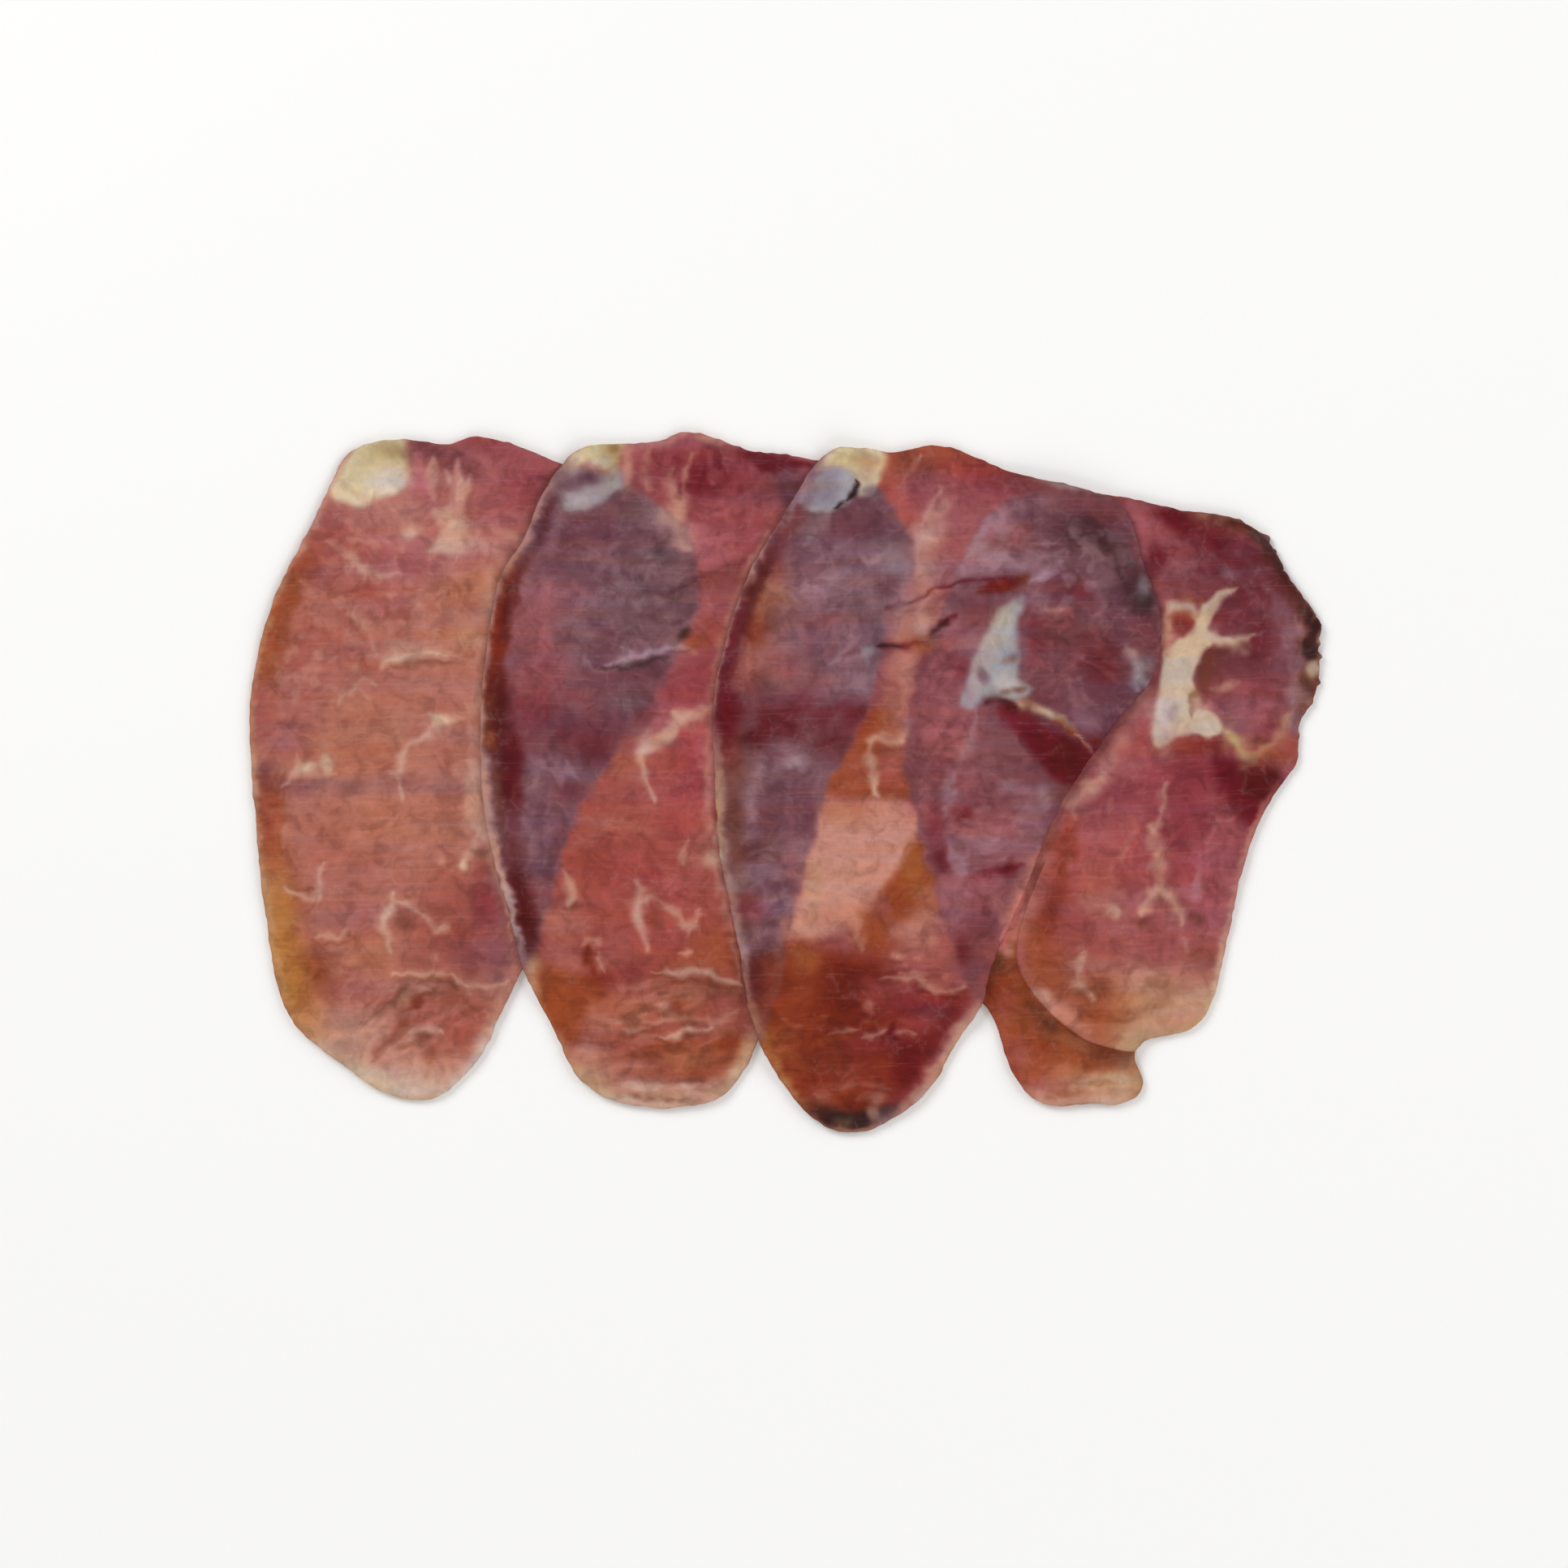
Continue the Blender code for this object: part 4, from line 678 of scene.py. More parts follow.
# The third slice, where the fourth shows through it
OVER_4 = painted(
    ("plum", 75, 48, 5, 70, 90), ("maroon", 40, 42, 8, 10, 14), ("mauve", 50, 35, -6, 12, 30),
    ("rose", 50, 36, -12, 11, 24), ("rose", 40, 30, 10, 6, 12), ("brick", 55, 37, -37, 7, 7),
    ("mauve", 40, 58, 57, 9, 2.6, -18), ("lilac", 70, 38, 52, 5, 5, 30), ("lilac", 90, 36, 45, 6, 5, 30),
    ("plum", 40, 53, 51, 5, 4), ("pink", 35, 40, 51, 4, 3), ("rose", 60, 43, 47.6, 3, 2),
    ("rose", 45, 46, 50, 2.5, 2), ("lilac", 60, 44, 43.6, 4, 1.6), ("mauve", 60, 50, 54, 5, 2.4, -15),
    ("mauve", 50, 50, 45.5, 4, 3), ("maroon", 60, 59.5, 54, 4, 2.4, -20), ("soot", 60, 58.4, 49, 4.6, 3.4),
    ("soot", 35, 63.4, 48.6, 2.4, 2.6), ("mauve", 40, 54.4, 48.2, 2.2, 2), ("maroon", 50, 63.6, 52.6, 2.2, 3),
    ("slate", 50, 59.6, 44, 4, 2.6), ("mauve", 50, 60, 40.4, 3, 2), ("soot", 35, 66, 41, 2, 4, 10),
    seam("slate", 70, 1.8, (63, 50), (65.4, 46.6), (68, 42.6)),
    seam("lilac", 80, 1.5, (48.6, 39.6), (51, 41.2), (53.4, 43.2), (55.4, 45.6)),
    ("lilac", 40, 49.6, 40.4, 2.6, 1, 20), ("maroon", 60, 56, 37.6, 5, 2.4),
    ("crimson", 60, 57.6, 37.8, 1.7, 1.3), ("mauve", 65, 62.4, 38, 1.7, 3.4), ("plum", 50, 66, 36, 2.4, 3),
    ("soot", 85, 70.4, 35.4, 2.2, 2.6), ("soot", 50, 69, 39, 2, 3), ("pearl", 50, 70.2, 38.6, 1, 2),
    ("mauve", 60, 60.4, 31.4, 3.4, 2), ("maroon", 50, 71, 29, 2.4, 4), ("crimson", 60, 49, 28.4, 2.8, 5),
    ("maroon", 65, 56, 29.4, 6, 2), ("umber", 30, 56, 29.4, 6, 2), ("mauve", 35, 57, 25.6, 6, 1.6),
    ("garnet", 65, 62, 24, 4.2, 3.6), ("umber", 30, 62, 23, 4, 3), ("mauve", 25, 52, 21, 5, 3),
    ("rose", 20, 57, 20, 6, 3), ("plum", 50, 63, 17, 4, 3), ("lilac", 30, 59.6, 12.8, 3.4, 2.6, -30),
    ("plum", 50, 69, 18.6, 2.4, 3), seam("rose", 70, 1.2, (50, 33.8), (52.4, 33), (54.6, 33.4), (56.6, 32.4)),
    seam("shell", 50, 0.8, (50.6, 34.4), (52.6, 33.4), (54, 33.8)), ("slate", 75, 71, 23.4, 1.4, 2.6, 10),
    seam("pearl", 75, 2.6, (67.2, 26.4), (68.6, 24.6), (69.4, 21.4), (69.6, 18)),
    ("shell", 45, 68.2, 25.2, 1.4, 1.3),
    # Seam, muscles and small dark tears below the triangle of fat
    ("rose", 65, 33, 28.6, 3.4, 3), ("maroon", 40, 37, 34.6, 4, 2, 30), ("mauve", 40, 35, 37.6, 3.6, 1.6),
    ("rose", 40, 37, 31, 3, 3), ("crimson", 60, 34.4, 22.8, 2.6, 2.6), ("rose", 60, 29, 20, 4, 6),
    ("rose", 50, 31, 10, 4, 4), ("rose", 50, 37, 12, 3, 3.4), ("maroon", 50, 27.6, 3, 3, 4),
    ("rose", 40, 26.6, -4.6, 3, 2), ("mauve", 45, 42, 10.6, 4, 2.6), ("mauve", 30, 41, 4, 6, 4),
    ("maroon", 40, 38, -3, 5, 2.4), ("pink", 60, 27.6, -5.4, 1.4, 1), ("crimson", 60, 29.4, -9, 1.6, 4),
    seam("lilac", 55, 2, (37.4, 14), (36.4, 8), (34.6, 4), (33, 1), (32, -3), (31.6, -6)),
    seam("pink", 45, 1.3, (28.6, 5.4), (32, 5.2), (35, 4.2)), ("lilac", 45, 32.4, -2, 1.2, 3),
    ("lilac", 55, 43.4, -0.6, 2, 0.9), ("garnet", 75, 34.8, -6, 2, 1.1),
    seam("maroon", 60, 1.2, (39, -1.8), (43, -3), (47, -3.6)),
    seam("rose", 80, 2.4, (33, -9), (38, -9.8), (45, -9)), ("lilac", 50, 41.4, -12.6, 7, 2.6),
    ("lilac", 50, 48, -7.6, 2.4, 5, 10), ("lilac", 75, 51, -2.4, 1.6, 2.2),
    ("garnet", 70, 31, -15.6, 1.8, 3, 20), seam("lilac", 75, 2, (32.6, -11), (33.6, -15), (35.4, -18)),
    ("pearl", 35, 34.6, -17.4, 1.6, 1.3),
    seam("garnet", 90, 2.2, (36.6, -18.2), (40.6, -17.6), (46.6, -16.4)), ("garnet", 50, 42, -17.4, 2.6, 1.2),
    ("rose", 50, 40.6, -21.6, 4, 2.6), seam("umber", 35, 1, (37, -21), (40.4, -22.6), (43, -20.6)),
    ("rose", 50, 32, -22, 3.4, 4), ("lilac", 35, 32.4, -23, 3, 3.4), ("maroon", 40, 38, -27.6, 3, 2.4),
    # Painted light: a pale salmon line along slice 3's right edge, lifting the shade of the valley beside the
    # fold
    seam("salmon", 85, 3, (50, -13.4), (47.6, -19), (45.2, -24.4), (42.4, -30)),
    streaks("lilac", 50, 0.9, 40, 48, 11, 9, 30, 3.5), streaks("plum", 55, 0.9, 54, 50, 12, 7, -20, 2.2),
    streaks("lilac", 44, 0.8, 56, 42, 12, 10, 35, 2.2), streaks("soot", 33, 0.9, 62, 44, 8, 9, -60, 3.5),
    streaks("rose", 39, 0.8, 54, 27, 8, 11, 15, 2.2), streaks("plum", 44, 0.9, 56, 22, 10, 12, 10, 2.2),
    streaks("lilac", 33, 0.8, 60, 18, 8, 8, -35, 3.5), streaks("pink", 39, 0.9, 32, 12, 6, 20, 30, 2.2),
    streaks("maroon", 44, 1, 32, 8, 7, 22, 30, 2.2), streaks("lilac", 44, 0.8, 42, -8, 8, 9, 0, 3.5),
    streaks("maroon", 44, 0.9, 40, -10, 8, 12, 0, 3.5), streaks("pink", 39, 0.8, 37, -24, 7, 8, -15, 2.2),
    streaks("maroon", 39, 0.9, 38, -30, 6, 9, 80, 3.5), ("garnet", 65, 34.2, -33.4, 1.8, 2.6),
    ("maroon", 40, 38, -31, 3, 4), ("plum", 60, 37, -37.4, 2.2, 3),
    field("garnet", 95, 2.4, (46, 15), (49.6, 12.4), (53, 10.6), (57, 8.2), (61, 6.4), (63.6, 9), (61.6, 4.6),
          (59, 1), (55, 0), (51, 2.4), (48, 6.6), (43.6, 11.6), (42, 15)),
    ("oxblood", 60, 56, 5.6, 3.4, 3.4), ("crimson", 50, 45, 12.6, 3.4, 2.6, -30),
    ("umber", 40, 55, -1.6, 3, 2),
    # The triangle of grey fat
    field("pearl", 100, 1.8, (46.6, 36.6), (42.4, 34), (39.8, 29.6), (37.6, 25), (35.6, 20), (34.4, 15.4),
          (36.4, 14.4), (39.6, 17), (42.6, 16.8), (45, 15), (47.6, 16.4), (48.4, 18.6), (46, 20.8),
          (45.6, 25), (45.6, 30), (46.8, 34)),
    ("cream", 45, 42, 30, 2.2, 4.6, -20), ("shell", 45, 39, 24, 1.8, 6, -20),
    ("ivory", 50, 43.6, 19.6, 3, 1.8), ("lilac", 50, 36.2, 17, 1.3, 3), ("mauve", 50, 46.4, 36, 1.5, 1.5),
    ("plum", 80, 39, 20.8, 1, 1.7, 30), ("umber", 75, 44, 24.2, 1.3, 0.9, 15),
    ("umber", 70, 46.2, 18.4, 1.5, 0.8), ("umber", 60, 43.4, 18, 1, 0.6),
    seam("oxblood", 85, 1.5, (39.6, 16), (42, 16.6), (44.4, 15.2), (46.6, 14.6)),
    seam("straw", 55, 1.6, (46, 15.6), (49, 14.4), (51.6, 13.6), (54.6, 11.4), (58, 8.6)),
    seam("shell", 60, 1.3, (45.4, 16), (48, 15.2), (51.6, 14)), ("cream", 50, 51.6, 13.8, 1.3, 0.8, -15),
    seam("russet", 80, 1.1, (52, 12.2), (55.4, 10.4), (58.4, 8.4), (62, 7.6)),
    seam("shell", 75, 0.8, (56.6, 9.6), (58.4, 8.2), (60.4, 6.2)),
    dabs("lilac", 40, 2.6, (36, 27), (32, 33), (47, 42)), dabs("garnet", 40, 3, (62, 22), (61, 7)),
    ("plum", 40, 66, 28, 2.4, 3), ("soot", 30, 65, 45, 2.6, 3), ("lilac", 40, 50, 35.6, 2.4, 2),
    ("pearl", 45, 42.4, 25, 3.4, 6, -20), ("mauve", 45, 46.4, 26, 1.3, 4),
    ("lilac", 40, 51, 44.2, 3, 1.6, 25), ("lilac", 30, 62, 40, 2.4, 2), ("plum", 45, 59.6, 20.6, 2.4, 2),
    ("maroon", 40, 56, 26, 2.4, 2), ("pink", 30, 36, -21, 4, 4), ("pink", 30, 45, -10, 5, 4),
    ("pink", 30, 36, 43, 4, 2), ("umber", 45, 47.4, 15.8, 1.6, 1, -25), ("pearl", 50, 40, 17.8, 2.2, 1, -10),
    # More painted light in the shaded valley beside the fold
    seam("blush", 50, 1.6, (48.6, -18.6), (46.6, -22.6), (44.4, -27), (42, -31)),
)

# Over all of the third slice
TOP_3 = painted(
    # The fat cap, torn through in the middle, with painted shade (soot) down the tear
    field("pearl", 100, 1.6, (2.4, 55.6), (5, 58.6), (7.4, 61.4), (10.6, 62.4), (13.6, 61), (13.6, 57.6),
          (11.4, 54.8), (7.6, 53.4), (4.4, 53.8)),
    ("ivory", 30, 11.4, 58.6, 1.3, 2.4, -20), ("slate", 50, 7, 57.2, 4, 2.2),
    field("cream", 100, 1.8, (6, 61.6), (8, 64.4), (11, 66.4), (17, 66.4), (19.4, 65), (19, 61), (17.4, 57.8),
          (15.4, 56), (13.8, 56.6), (13.6, 60.4), (11, 62), (8.4, 61.6)),
    ("straw", 60, 12.6, 64.2, 3.4, 1.5), ("olive", 60, 16.4, 63.4, 1.8, 1.5),
    ("straw", 35, 18.6, 62.4, 1.4, 2.6), ("ivory", 35, 15.6, 59, 1.3, 2), ("olive", 30, 15.6, 61.4, 3, 1.8),
    ("slate", 70, 16.8, 57, 2.2, 1.5), ("mauve", 25, 8, 60.6, 3, 2),
    streaks("olive", 33, 0.9, 13, 64, 6, 2, 10, 2.2),
    seam("soot", 90, 0.7, (13.4, 60), (13.6, 58.4), (12.8, 56.4), (10.6, 54.8), (9.4, 54.2)),
    ("soot", 50, 13.4, 57.8, 0.5, 0.9, 10),
    # The dark band inside the left edge: the dried rim, and painted shade in the hollow beside the raised
    # edge
    hem("maroon", 75, 2.8, 2.2, -1, 51, 5.5, 6.5), hem("oxblood", 85, 2.7, 2.6, -7, 39, 5, 9),
    hem("garnet", 65, 2.3, 1.7, -12, 25, 4, 8), hem("garnet", 80, 2.8, 3.6, -13, 12, 4, 7),
    hem("umber", 60, 3.6, 3.6, -11.6, -6, 5, 9), hem("umber", 35, 3.2, 2.4, -10, -22, 5, 8),
    # The light left edge itself
    hem("lilac", 60, 1, 2, 2, 57, 4, 5), hem("maroon", 40, 0.4, 1.4, -1, 51, 4, 5),
    hem("shell", 50, 0.2, 0.9, -7, 41, 5, 9), hem("garnet", 60, 1.2, 1.3, -11, 25, 4, 12),
    hem("salmon", 60, 0.2, 0.9, -12, 24, 4, 10), hem("sand", 50, 0.8, 2.2, -14, 1, 3, 7),
    hem("sand", 45, 0.7, 1.8, -13, -9, 3, 6), hem("sand", 40, 0.8, 2, -11, -24, 4, 9),
    hem("lilac", 45, 0.5, 1.5, -9, -31, 4, 5), hem("sand", 40, 0.6, 1.8, -7, -42, 5, 9),
    ("cream", 80, -13.4, -14.6, 1, 1.4), hem("sand", 50, 0.4, 1.2, -13, -6, 3, 6),
    # Two torn cracks, with painted shade (soot, umber) deep in them
    seam("garnet", 75, 1.2, (20, 33.6), (23, 35), (26.4, 36), (29.4, 38), (33, 39.2), (38, 39.8), (43, 40)),
    seam("soot", 50, 0.8, (20.4, 33.8), (23, 34.9), (26, 35.9)),
    seam("soot", 40, 0.8, (31.6, 38.8), (34.4, 39.6)),
    field("garnet", 90, 1.8, (38, 37.6), (42, 37.4), (46, 38.6), (48, 41), (45, 40.4), (41, 40)),
    ("russet", 70, 42.4, 38.4, 3, 1.1), ("umber", 60, 46.6, 40, 1.6, 1.2, 40),
    seam("garnet", 70, 1.2, (17.6, 26.6), (20.6, 26.8), (23.6, 26.6), (26.8, 27.8), (30, 30.4), (33.4, 33)),
    seam("soot", 60, 0.8, (17.8, 26.7), (20, 26.8), (22.6, 26.7)), ("umber", 75, 27.8, 27.6, 1.7, 1.5, 40),
    ("rust", 50, 26.4, 26.8, 2, 1.5), seam("soot", 55, 0.8, (28.4, 29), (31.6, 31.6)),
    ("shell", 60, 27, 30.6, 1.3, 2.2), ("apricot", 35, -5, 34, 1.4, 3.4, -15),
    ("lilac", 60, 22.6, 35, 1.9, 4.4, -12), ("lilac", 30, 0.4, 28.4, 3, 2.6), ("slate", 35, 3, 25, 4, 4),
    ("sand", 35, 10, -5, 3, 1.4), ("russet", 45, -10.6, 5, 2.2, 3), ("umber", 45, 22.6, 63.8, 1.8, 2.6),
    ("sand", 50, 15.8, 62, 2.2, 2.4), ("shell", 35, 17, 63, 2.4, 2), ("mauve", 30, 6.4, 62.6, 1.6, 2),
)

# The right slice, whose foot is tucked over
SLICE_4 = painted(
    field("maroon", 55, 6, (64, 57), (80, 55), (97, 48), (107, 32), (106, 14), (96, 12), (86, 16), (80, 26),
          (80, 38), (72, 42)),
    ("mauve", 60, 93, 30, 9, 18, -10), ("maroon", 40, 92, 40, 8, 9, -60), ("crimson", 30, 82, -6, 12, 10),
    ("mauve", 40, 97.8, 5, 1.8, 3.4), ("peach", 35, 75, -39.6, 4, 2.4), ("russet", 35, 50.6, -29, 1.6, 4),
    ("crimson", 30, 62, -3, 6, 5), ("rose", 70, 70, 52, 7, 3.4, -20), ("pink", 45, 69, 51, 2, 5, 20),
    ("garnet", 100, 76.6, 51.4, 4, 1.8, -20), ("garnet", 60, 75.8, 51.6, 2.6, 1.4, -30),
    ("pink", 50, 73, 49, 3, 2.6), ("garnet", 90, 72.8, 43.6, 2.2, 3.4, 10),
    ("pink", 70, 70.2, 45.2, 1.2, 1.6), ("rose", 45, 77.6, 47, 4, 3), ("mauve", 50, 79, 41, 5, 2.2),
    ("pink", 25, 77, 43, 3, 1.2), ("maroon", 70, 85, 48, 5, 3.4, -15), ("garnet", 50, 84, 47.4, 3, 2, -20),
    ("plum", 60, 86, 43, 4, 3), ("crimson", 50, 90, 47.6, 3.6, 2.4, -30),
    ("lilac", 55, 88, 41.4, 2, 1.4, -30), ("plum", 70, 93, 42, 4.4, 3.4, -40), ("plum", 50, 98, 36, 3, 5, 20),
    ("crimson", 55, 90, 36, 4, 3), ("crimson", 50, 86, 32, 4, 2), ("maroon", 65, 94, 29, 4, 4),
    # Under the fat's right arm, round (83, 23), the maroon and umber are painted shadow
    ("garnet", 35, 92.6, 28, 2.4, 4), ("maroon", 60, 84.6, 23, 4, 4.6), ("umber", 50, 83, 22, 3, 4, 70),
    ("maroon", 50, 92, 23, 4, 3), ("rose", 40, 88, 19, 4, 2), ("crimson", 40, 94, 19, 4, 2.4),
    ("pink", 50, 91.6, 13.4, 4.4, 3.4), ("rose", 30, 96, 14, 3, 4), ("crimson", 50, 96, 10, 3, 2),
    ("mauve", 50, 88, 12, 2.6, 2.4), seam("shell", 50, 0.9, (84, 18.6), (86.6, 18.6), (89, 20)),
    ("shell", 90, 86.8, 18.9, 1.4, 0.9, 40), seam("lilac", 35, 0.8, (87, 30.8), (88.4, 33), (91, 34.4)),
    streaks("pink", 44, 0.9, 76, 47, 8, 7, -50, 3.5), streaks("garnet", 44, 1, 84, 46, 10, 6, -30, 2.2),
    streaks("mauve", 50, 0.9, 90, 39, 8, 8, -45, 3.5), streaks("maroon", 44, 1, 90, 26, 7, 11, 5, 3.5),
    streaks("pink", 39, 0.8, 91, 15, 7, 7, 0, 5),
    seam("lilac", 50, 3.4, (95.4, 38), (98.4, 33), (99.8, 26), (100.2, 19), (99.6, 10)),
    seam("lilac", 60, 1.3, (100.6, 33), (101.4, 28), (101.2, 22), (101, 15), (100, 9)),
    ("crimson", 35, 83, 42, 4, 1, 20), hem("umber", 85, 1, 3, 93, 47, 13, 10),
    hem("soot", 80, 0.9, 2.2, 97, 43, 12, 9), hem("umber", 80, 1.6, 3.8, 103, 26, 4, 14),
    hem("soot", 75, 1.6, 2.6, 103, 29, 4, 8), hem("soot", 50, 0.8, 1.8, 102, 15, 3, 5),
    hem("sand", 30, 0, 0.6, 96, 44, 12, 12), streaks("sand", 60, 0.8, 103.6, 25, 2, 10, 70, 2.2),
    ("soot", 80, 104.2, 31, 1.4, 2), ("oxblood", 30, 96.4, 40, 5, 2.4, -50),
    seam("lilac", 50, 1, (101.2, 28), (101, 24), (100.6, 20), (100, 15), (99.2, 11)),
    ("soot", 80, 103, 26, 1.4, 1.6), ("umber", 90, 102.4, 18, 1.5, 3.4), ("soot", 50, 102.6, 18.6, 1.1, 2.6),
    ("shell", 45, 105.2, 28.4, 0.8, 1.2), ("shell", 40, 103.4, 14.6, 0.9, 1.6),
    hem("umber", 50, 0.8, 2.2, 102, 11, 3, 5), ("cream", 80, 104, 22.4, 1.5, 1.3),
    ("sand", 80, 105, 34.6, 1.3, 0.9, -45), ("sand", 50, 105.4, 24.6, 0.8, 1.2),
    # Below the fat
    ("coral", 40, 76, 3, 8, 4), ("russet", 75, 81, 7, 5.6, 1.7), ("crimson", 60, 82, 2.4, 8, 4),
    ("crimson", 50, 78, -8, 6, 7), ("coral", 30, 69, 4, 3, 6),
    field("garnet", 95, 4, (84, 5), (89, 4.4), (93, 3.4), (98, 1.4), (99, -1), (96, -5), (92, -9), (88, -6),
          (85, -1)),
    ("oxblood", 70, 94.6, -0.6, 3.4, 3), ("maroon", 40, 88, -5.4, 2.4, 1.4), ("rose", 50, 85, -12, 4, 3),
    ("coral", 35, 79, -17, 3, 3), ("rose", 30, 86.4, -18, 3, 5), ("crimson", 25, 84, -14, 3, 4),
    ("brick", 40, 62, -16, 6, 5), ("pink", 35, 62, -11.4, 5, 2.6), ("coral", 40, 68, -14, 4, 6),
    ("brick", 50, 60, -24, 5, 4), ("coral", 30, 58, -18, 3, 6), ("crimson", 30, 56.4, -27, 3, 3.4),
    ("brick", 55, 60, -32, 9, 3.4), ("brick", 40, 73, -29, 4, 3), ("pink", 40, 84, -24, 4, 3),
    ("rose", 40, 82, -29, 3, 2), ("brick", 40, 82, -32.6, 5, 2.6), ("umber", 30, 82.4, -34, 4, 1.6),
    # The foot fades to tan
    field("salmon", 75, 7, (46, -37), (60, -35.4), (72, -35), (87, -38), (88, -60), (40, -60)),
    field("sand", 80, 7, (67, -40), (76, -39), (88, -42), (86, -56), (64, -56)),
    ("peach", 55, 68, -38, 4.4, 1.8), ("apricot", 40, 72, -41, 5, 2.4), ("shell", 45, 80, -44, 5, 4),
    ("peach", 60, 80, -47, 4, 2.2), ("brick", 25, 80, -39.6, 5, 1.6), ("umber", 25, 71, -44.6, 3, 1),
    ("umber", 30, 71, -41.4, 1.2, 1.4), ("sand", 50, 68, -49.4, 4, 2.6), ("peach", 40, 76, -48, 4, 1.8),
    ("rust", 75, 51.4, -36, 4, 6, 20), ("rust", 75, 61, -41.6, 5, 3.6), ("umber", 40, 60, -41, 3.4, 2),
    ("rust", 60, 62, -46.4, 6, 2), ("umber", 30, 61, -46, 5, 1.2), ("apricot", 40, 66, -44, 2.4, 5),
    ("apricot", 40, 60, -49, 5, 1.8, -15), ("salmon", 40, 62, -35.6, 3, 1.4),
    hem("olive", 30, 1, 2.6, 75, -50, 10, 4), hem("sand", 70, 0.6, 2, 84, -45, 6, 9),
    hem("shell", 50, 0.5, 1.6, 89, -18, 6, 20), hem("cream", 40, 0.4, 1.8, 86, -40, 5, 7),
    hem("rose", 45, 0.6, 1.8, 97, 0, 7, 8),
    seam("shell", 75, 1.6, (58, -33), (57.4, -36), (58, -39), (60.4, -42.8)),
    # Veins, with painted shadow (umber) at their sunken ends
    seam("shell", 70, 1.6, (75, 0), (74.8, -3), (73.8, -6.6), (72.2, -9.6)),
    seam("shell", 90, 2.4, (72, -9), (72.8, -13), (73.6, -17), (73.6, -20.6)),
    ("umber", 45, 73.8, -23.2, 1.5, 1.5), seam("shell", 85, 2, (73.4, -20.6), (71.4, -23.4), (70, -26)),
    seam("shell", 80, 1.8, (73.8, -20.6), (76, -22.8), (77.4, -25.6), (77.8, -28.4)),
    ("umber", 45, 70, -27.4, 1.8, 0.7), ("salmon", 60, 61.5, -23.6, 3.4, 2),
    ("shell", 95, 64.6, -25.4, 1.5, 1.1, -25),
    seam("pink", 70, 2.8, (84.6, -9), (82.4, -15), (81, -21), (80, -24.6)),
    seam("lilac", 35, 2, (81.6, -18), (80.6, -23)), ("umber", 60, 80.6, -27, 1.8, 0.8),
    seam("shell", 30, 0.8, (82.4, -7), (85, -7.4), (88, -7.2)), ("pink", 50, 88, -19.6, 1.5, 1.3),
    seam("shell", 40, 1.2, (78, -31), (79, -33.6)),
    # The branching fat
    field("cream", 100, 1.1, (88.9, 38.6), (87.2, 38.2), (85.4, 37.1), (83.6, 35.8), (82.2, 34.8), (81.4, 33),
          (80.4, 31), (79, 29.5), (77.2, 28.5), (75.4, 27), (74.3, 25.4), (73.8, 22), (73.3, 18), (72.9, 14),
          (72.5, 10.6), (72.4, 7.4), (73.2, 6.6), (75.2, 7.6), (77, 9), (79.2, 9.6), (81, 9.9), (82.4, 9.1),
          (84.8, 9.1), (85.9, 10.2), (85.1, 12.4), (83.6, 13.8), (82, 15.2), (81, 17.6), (80.4, 21),
          (81.2, 24.2), (82.8, 26.4), (84, 27.8), (83, 29.6), (83.6, 31.4), (85, 33.6), (86.6, 35.8),
          (88, 37.4)),
    seam("cream", 100, 2.4, (81, 28.6), (84.2, 28.2), (87.4, 27.9), (89.6, 28.2), (92, 28.8)),
    # The umber patches under the fat's right arm are painted shadow
    seam("ivory", 50, 1, (82.6, 28.8), (85, 28.2), (88, 28.2)), ("umber", 60, 82.8, 23, 1.5, 2.8),
    ("umber", 40, 82.4, 19.6, 1.3, 2), ("umber", 30, 85, 25.4, 2.4, 1), ("ivory", 30, 77.4, 20, 3, 6),
    ("ivory", 90, 74.5, 11.4, 2.1, 5), ("ivory", 40, 82.6, 11.4, 2.6, 1.8), ("slate", 30, 76, 13.6, 1.3, 1.8),
    seam("umber", 40, 0.9, (80.8, 18), (80, 16), (80.3, 14.6), (79.8, 13)), ("olive", 50, 80.6, 17, 0.8, 1.4),
    ("peach", 70, 82, 15, 1.8, 1.3, -20),
    seam("cream", 75, 1.8, (75, 33.2), (76.2, 34.8), (78.6, 35), (80.4, 33.6), (81.4, 31.8)),
    seam("rust", 50, 1.2, (76, 36.6), (80, 36.4), (82.6, 35.4)), ("cream", 80, 76.4, 34.2, 1.5, 1.1),
    seam("shell", 95, 1.9, (75.4, 34.4), (74.9, 31), (75, 28), (75.2, 25.4)),
    ("russet", 80, 78, 31.4, 1.8, 2.1, 45), ("brick", 50, 77.4, 33, 1.4, 1),
    ("maroon", 40, 78, 31, 1.5, 1.7, 45), ("rust", 40, 79.6, 33, 1.2, 1.2),
    seam("straw", 95, 2.6, (85.6, 10.4), (88, 9), (89.6, 6.8), (91.4, 5.4), (93.4, 5.6)),
    seam("sand", 75, 1.9, (92, 5.8), (94.8, 7), (97.4, 9.4), (98.6, 13)), ("rust", 60, 96, 5, 3.4, 2),
    ("brick", 60, 99.4, 7, 2.4, 3), ("umber", 50, 93, 8, 2, 0.8),
    # The pale band beside slice 3
    seam("shell", 50, 4.2, (71.4, 17.4), (68.6, 13), (66, 8), (63.4, 3.4), (60.4, -0.6)),
    seam("shell", 70, 3, (62.6, 1.6), (58.6, -2), (55.6, -4.4)), ("maroon", 40, 63.4, 8, 1.6, 2.4),
    seam("rose", 60, 2.6, (71, 9), (69, 4), (66.4, -0.6)), seam("coral", 40, 1.6, (71.8, 12), (70, 7)),
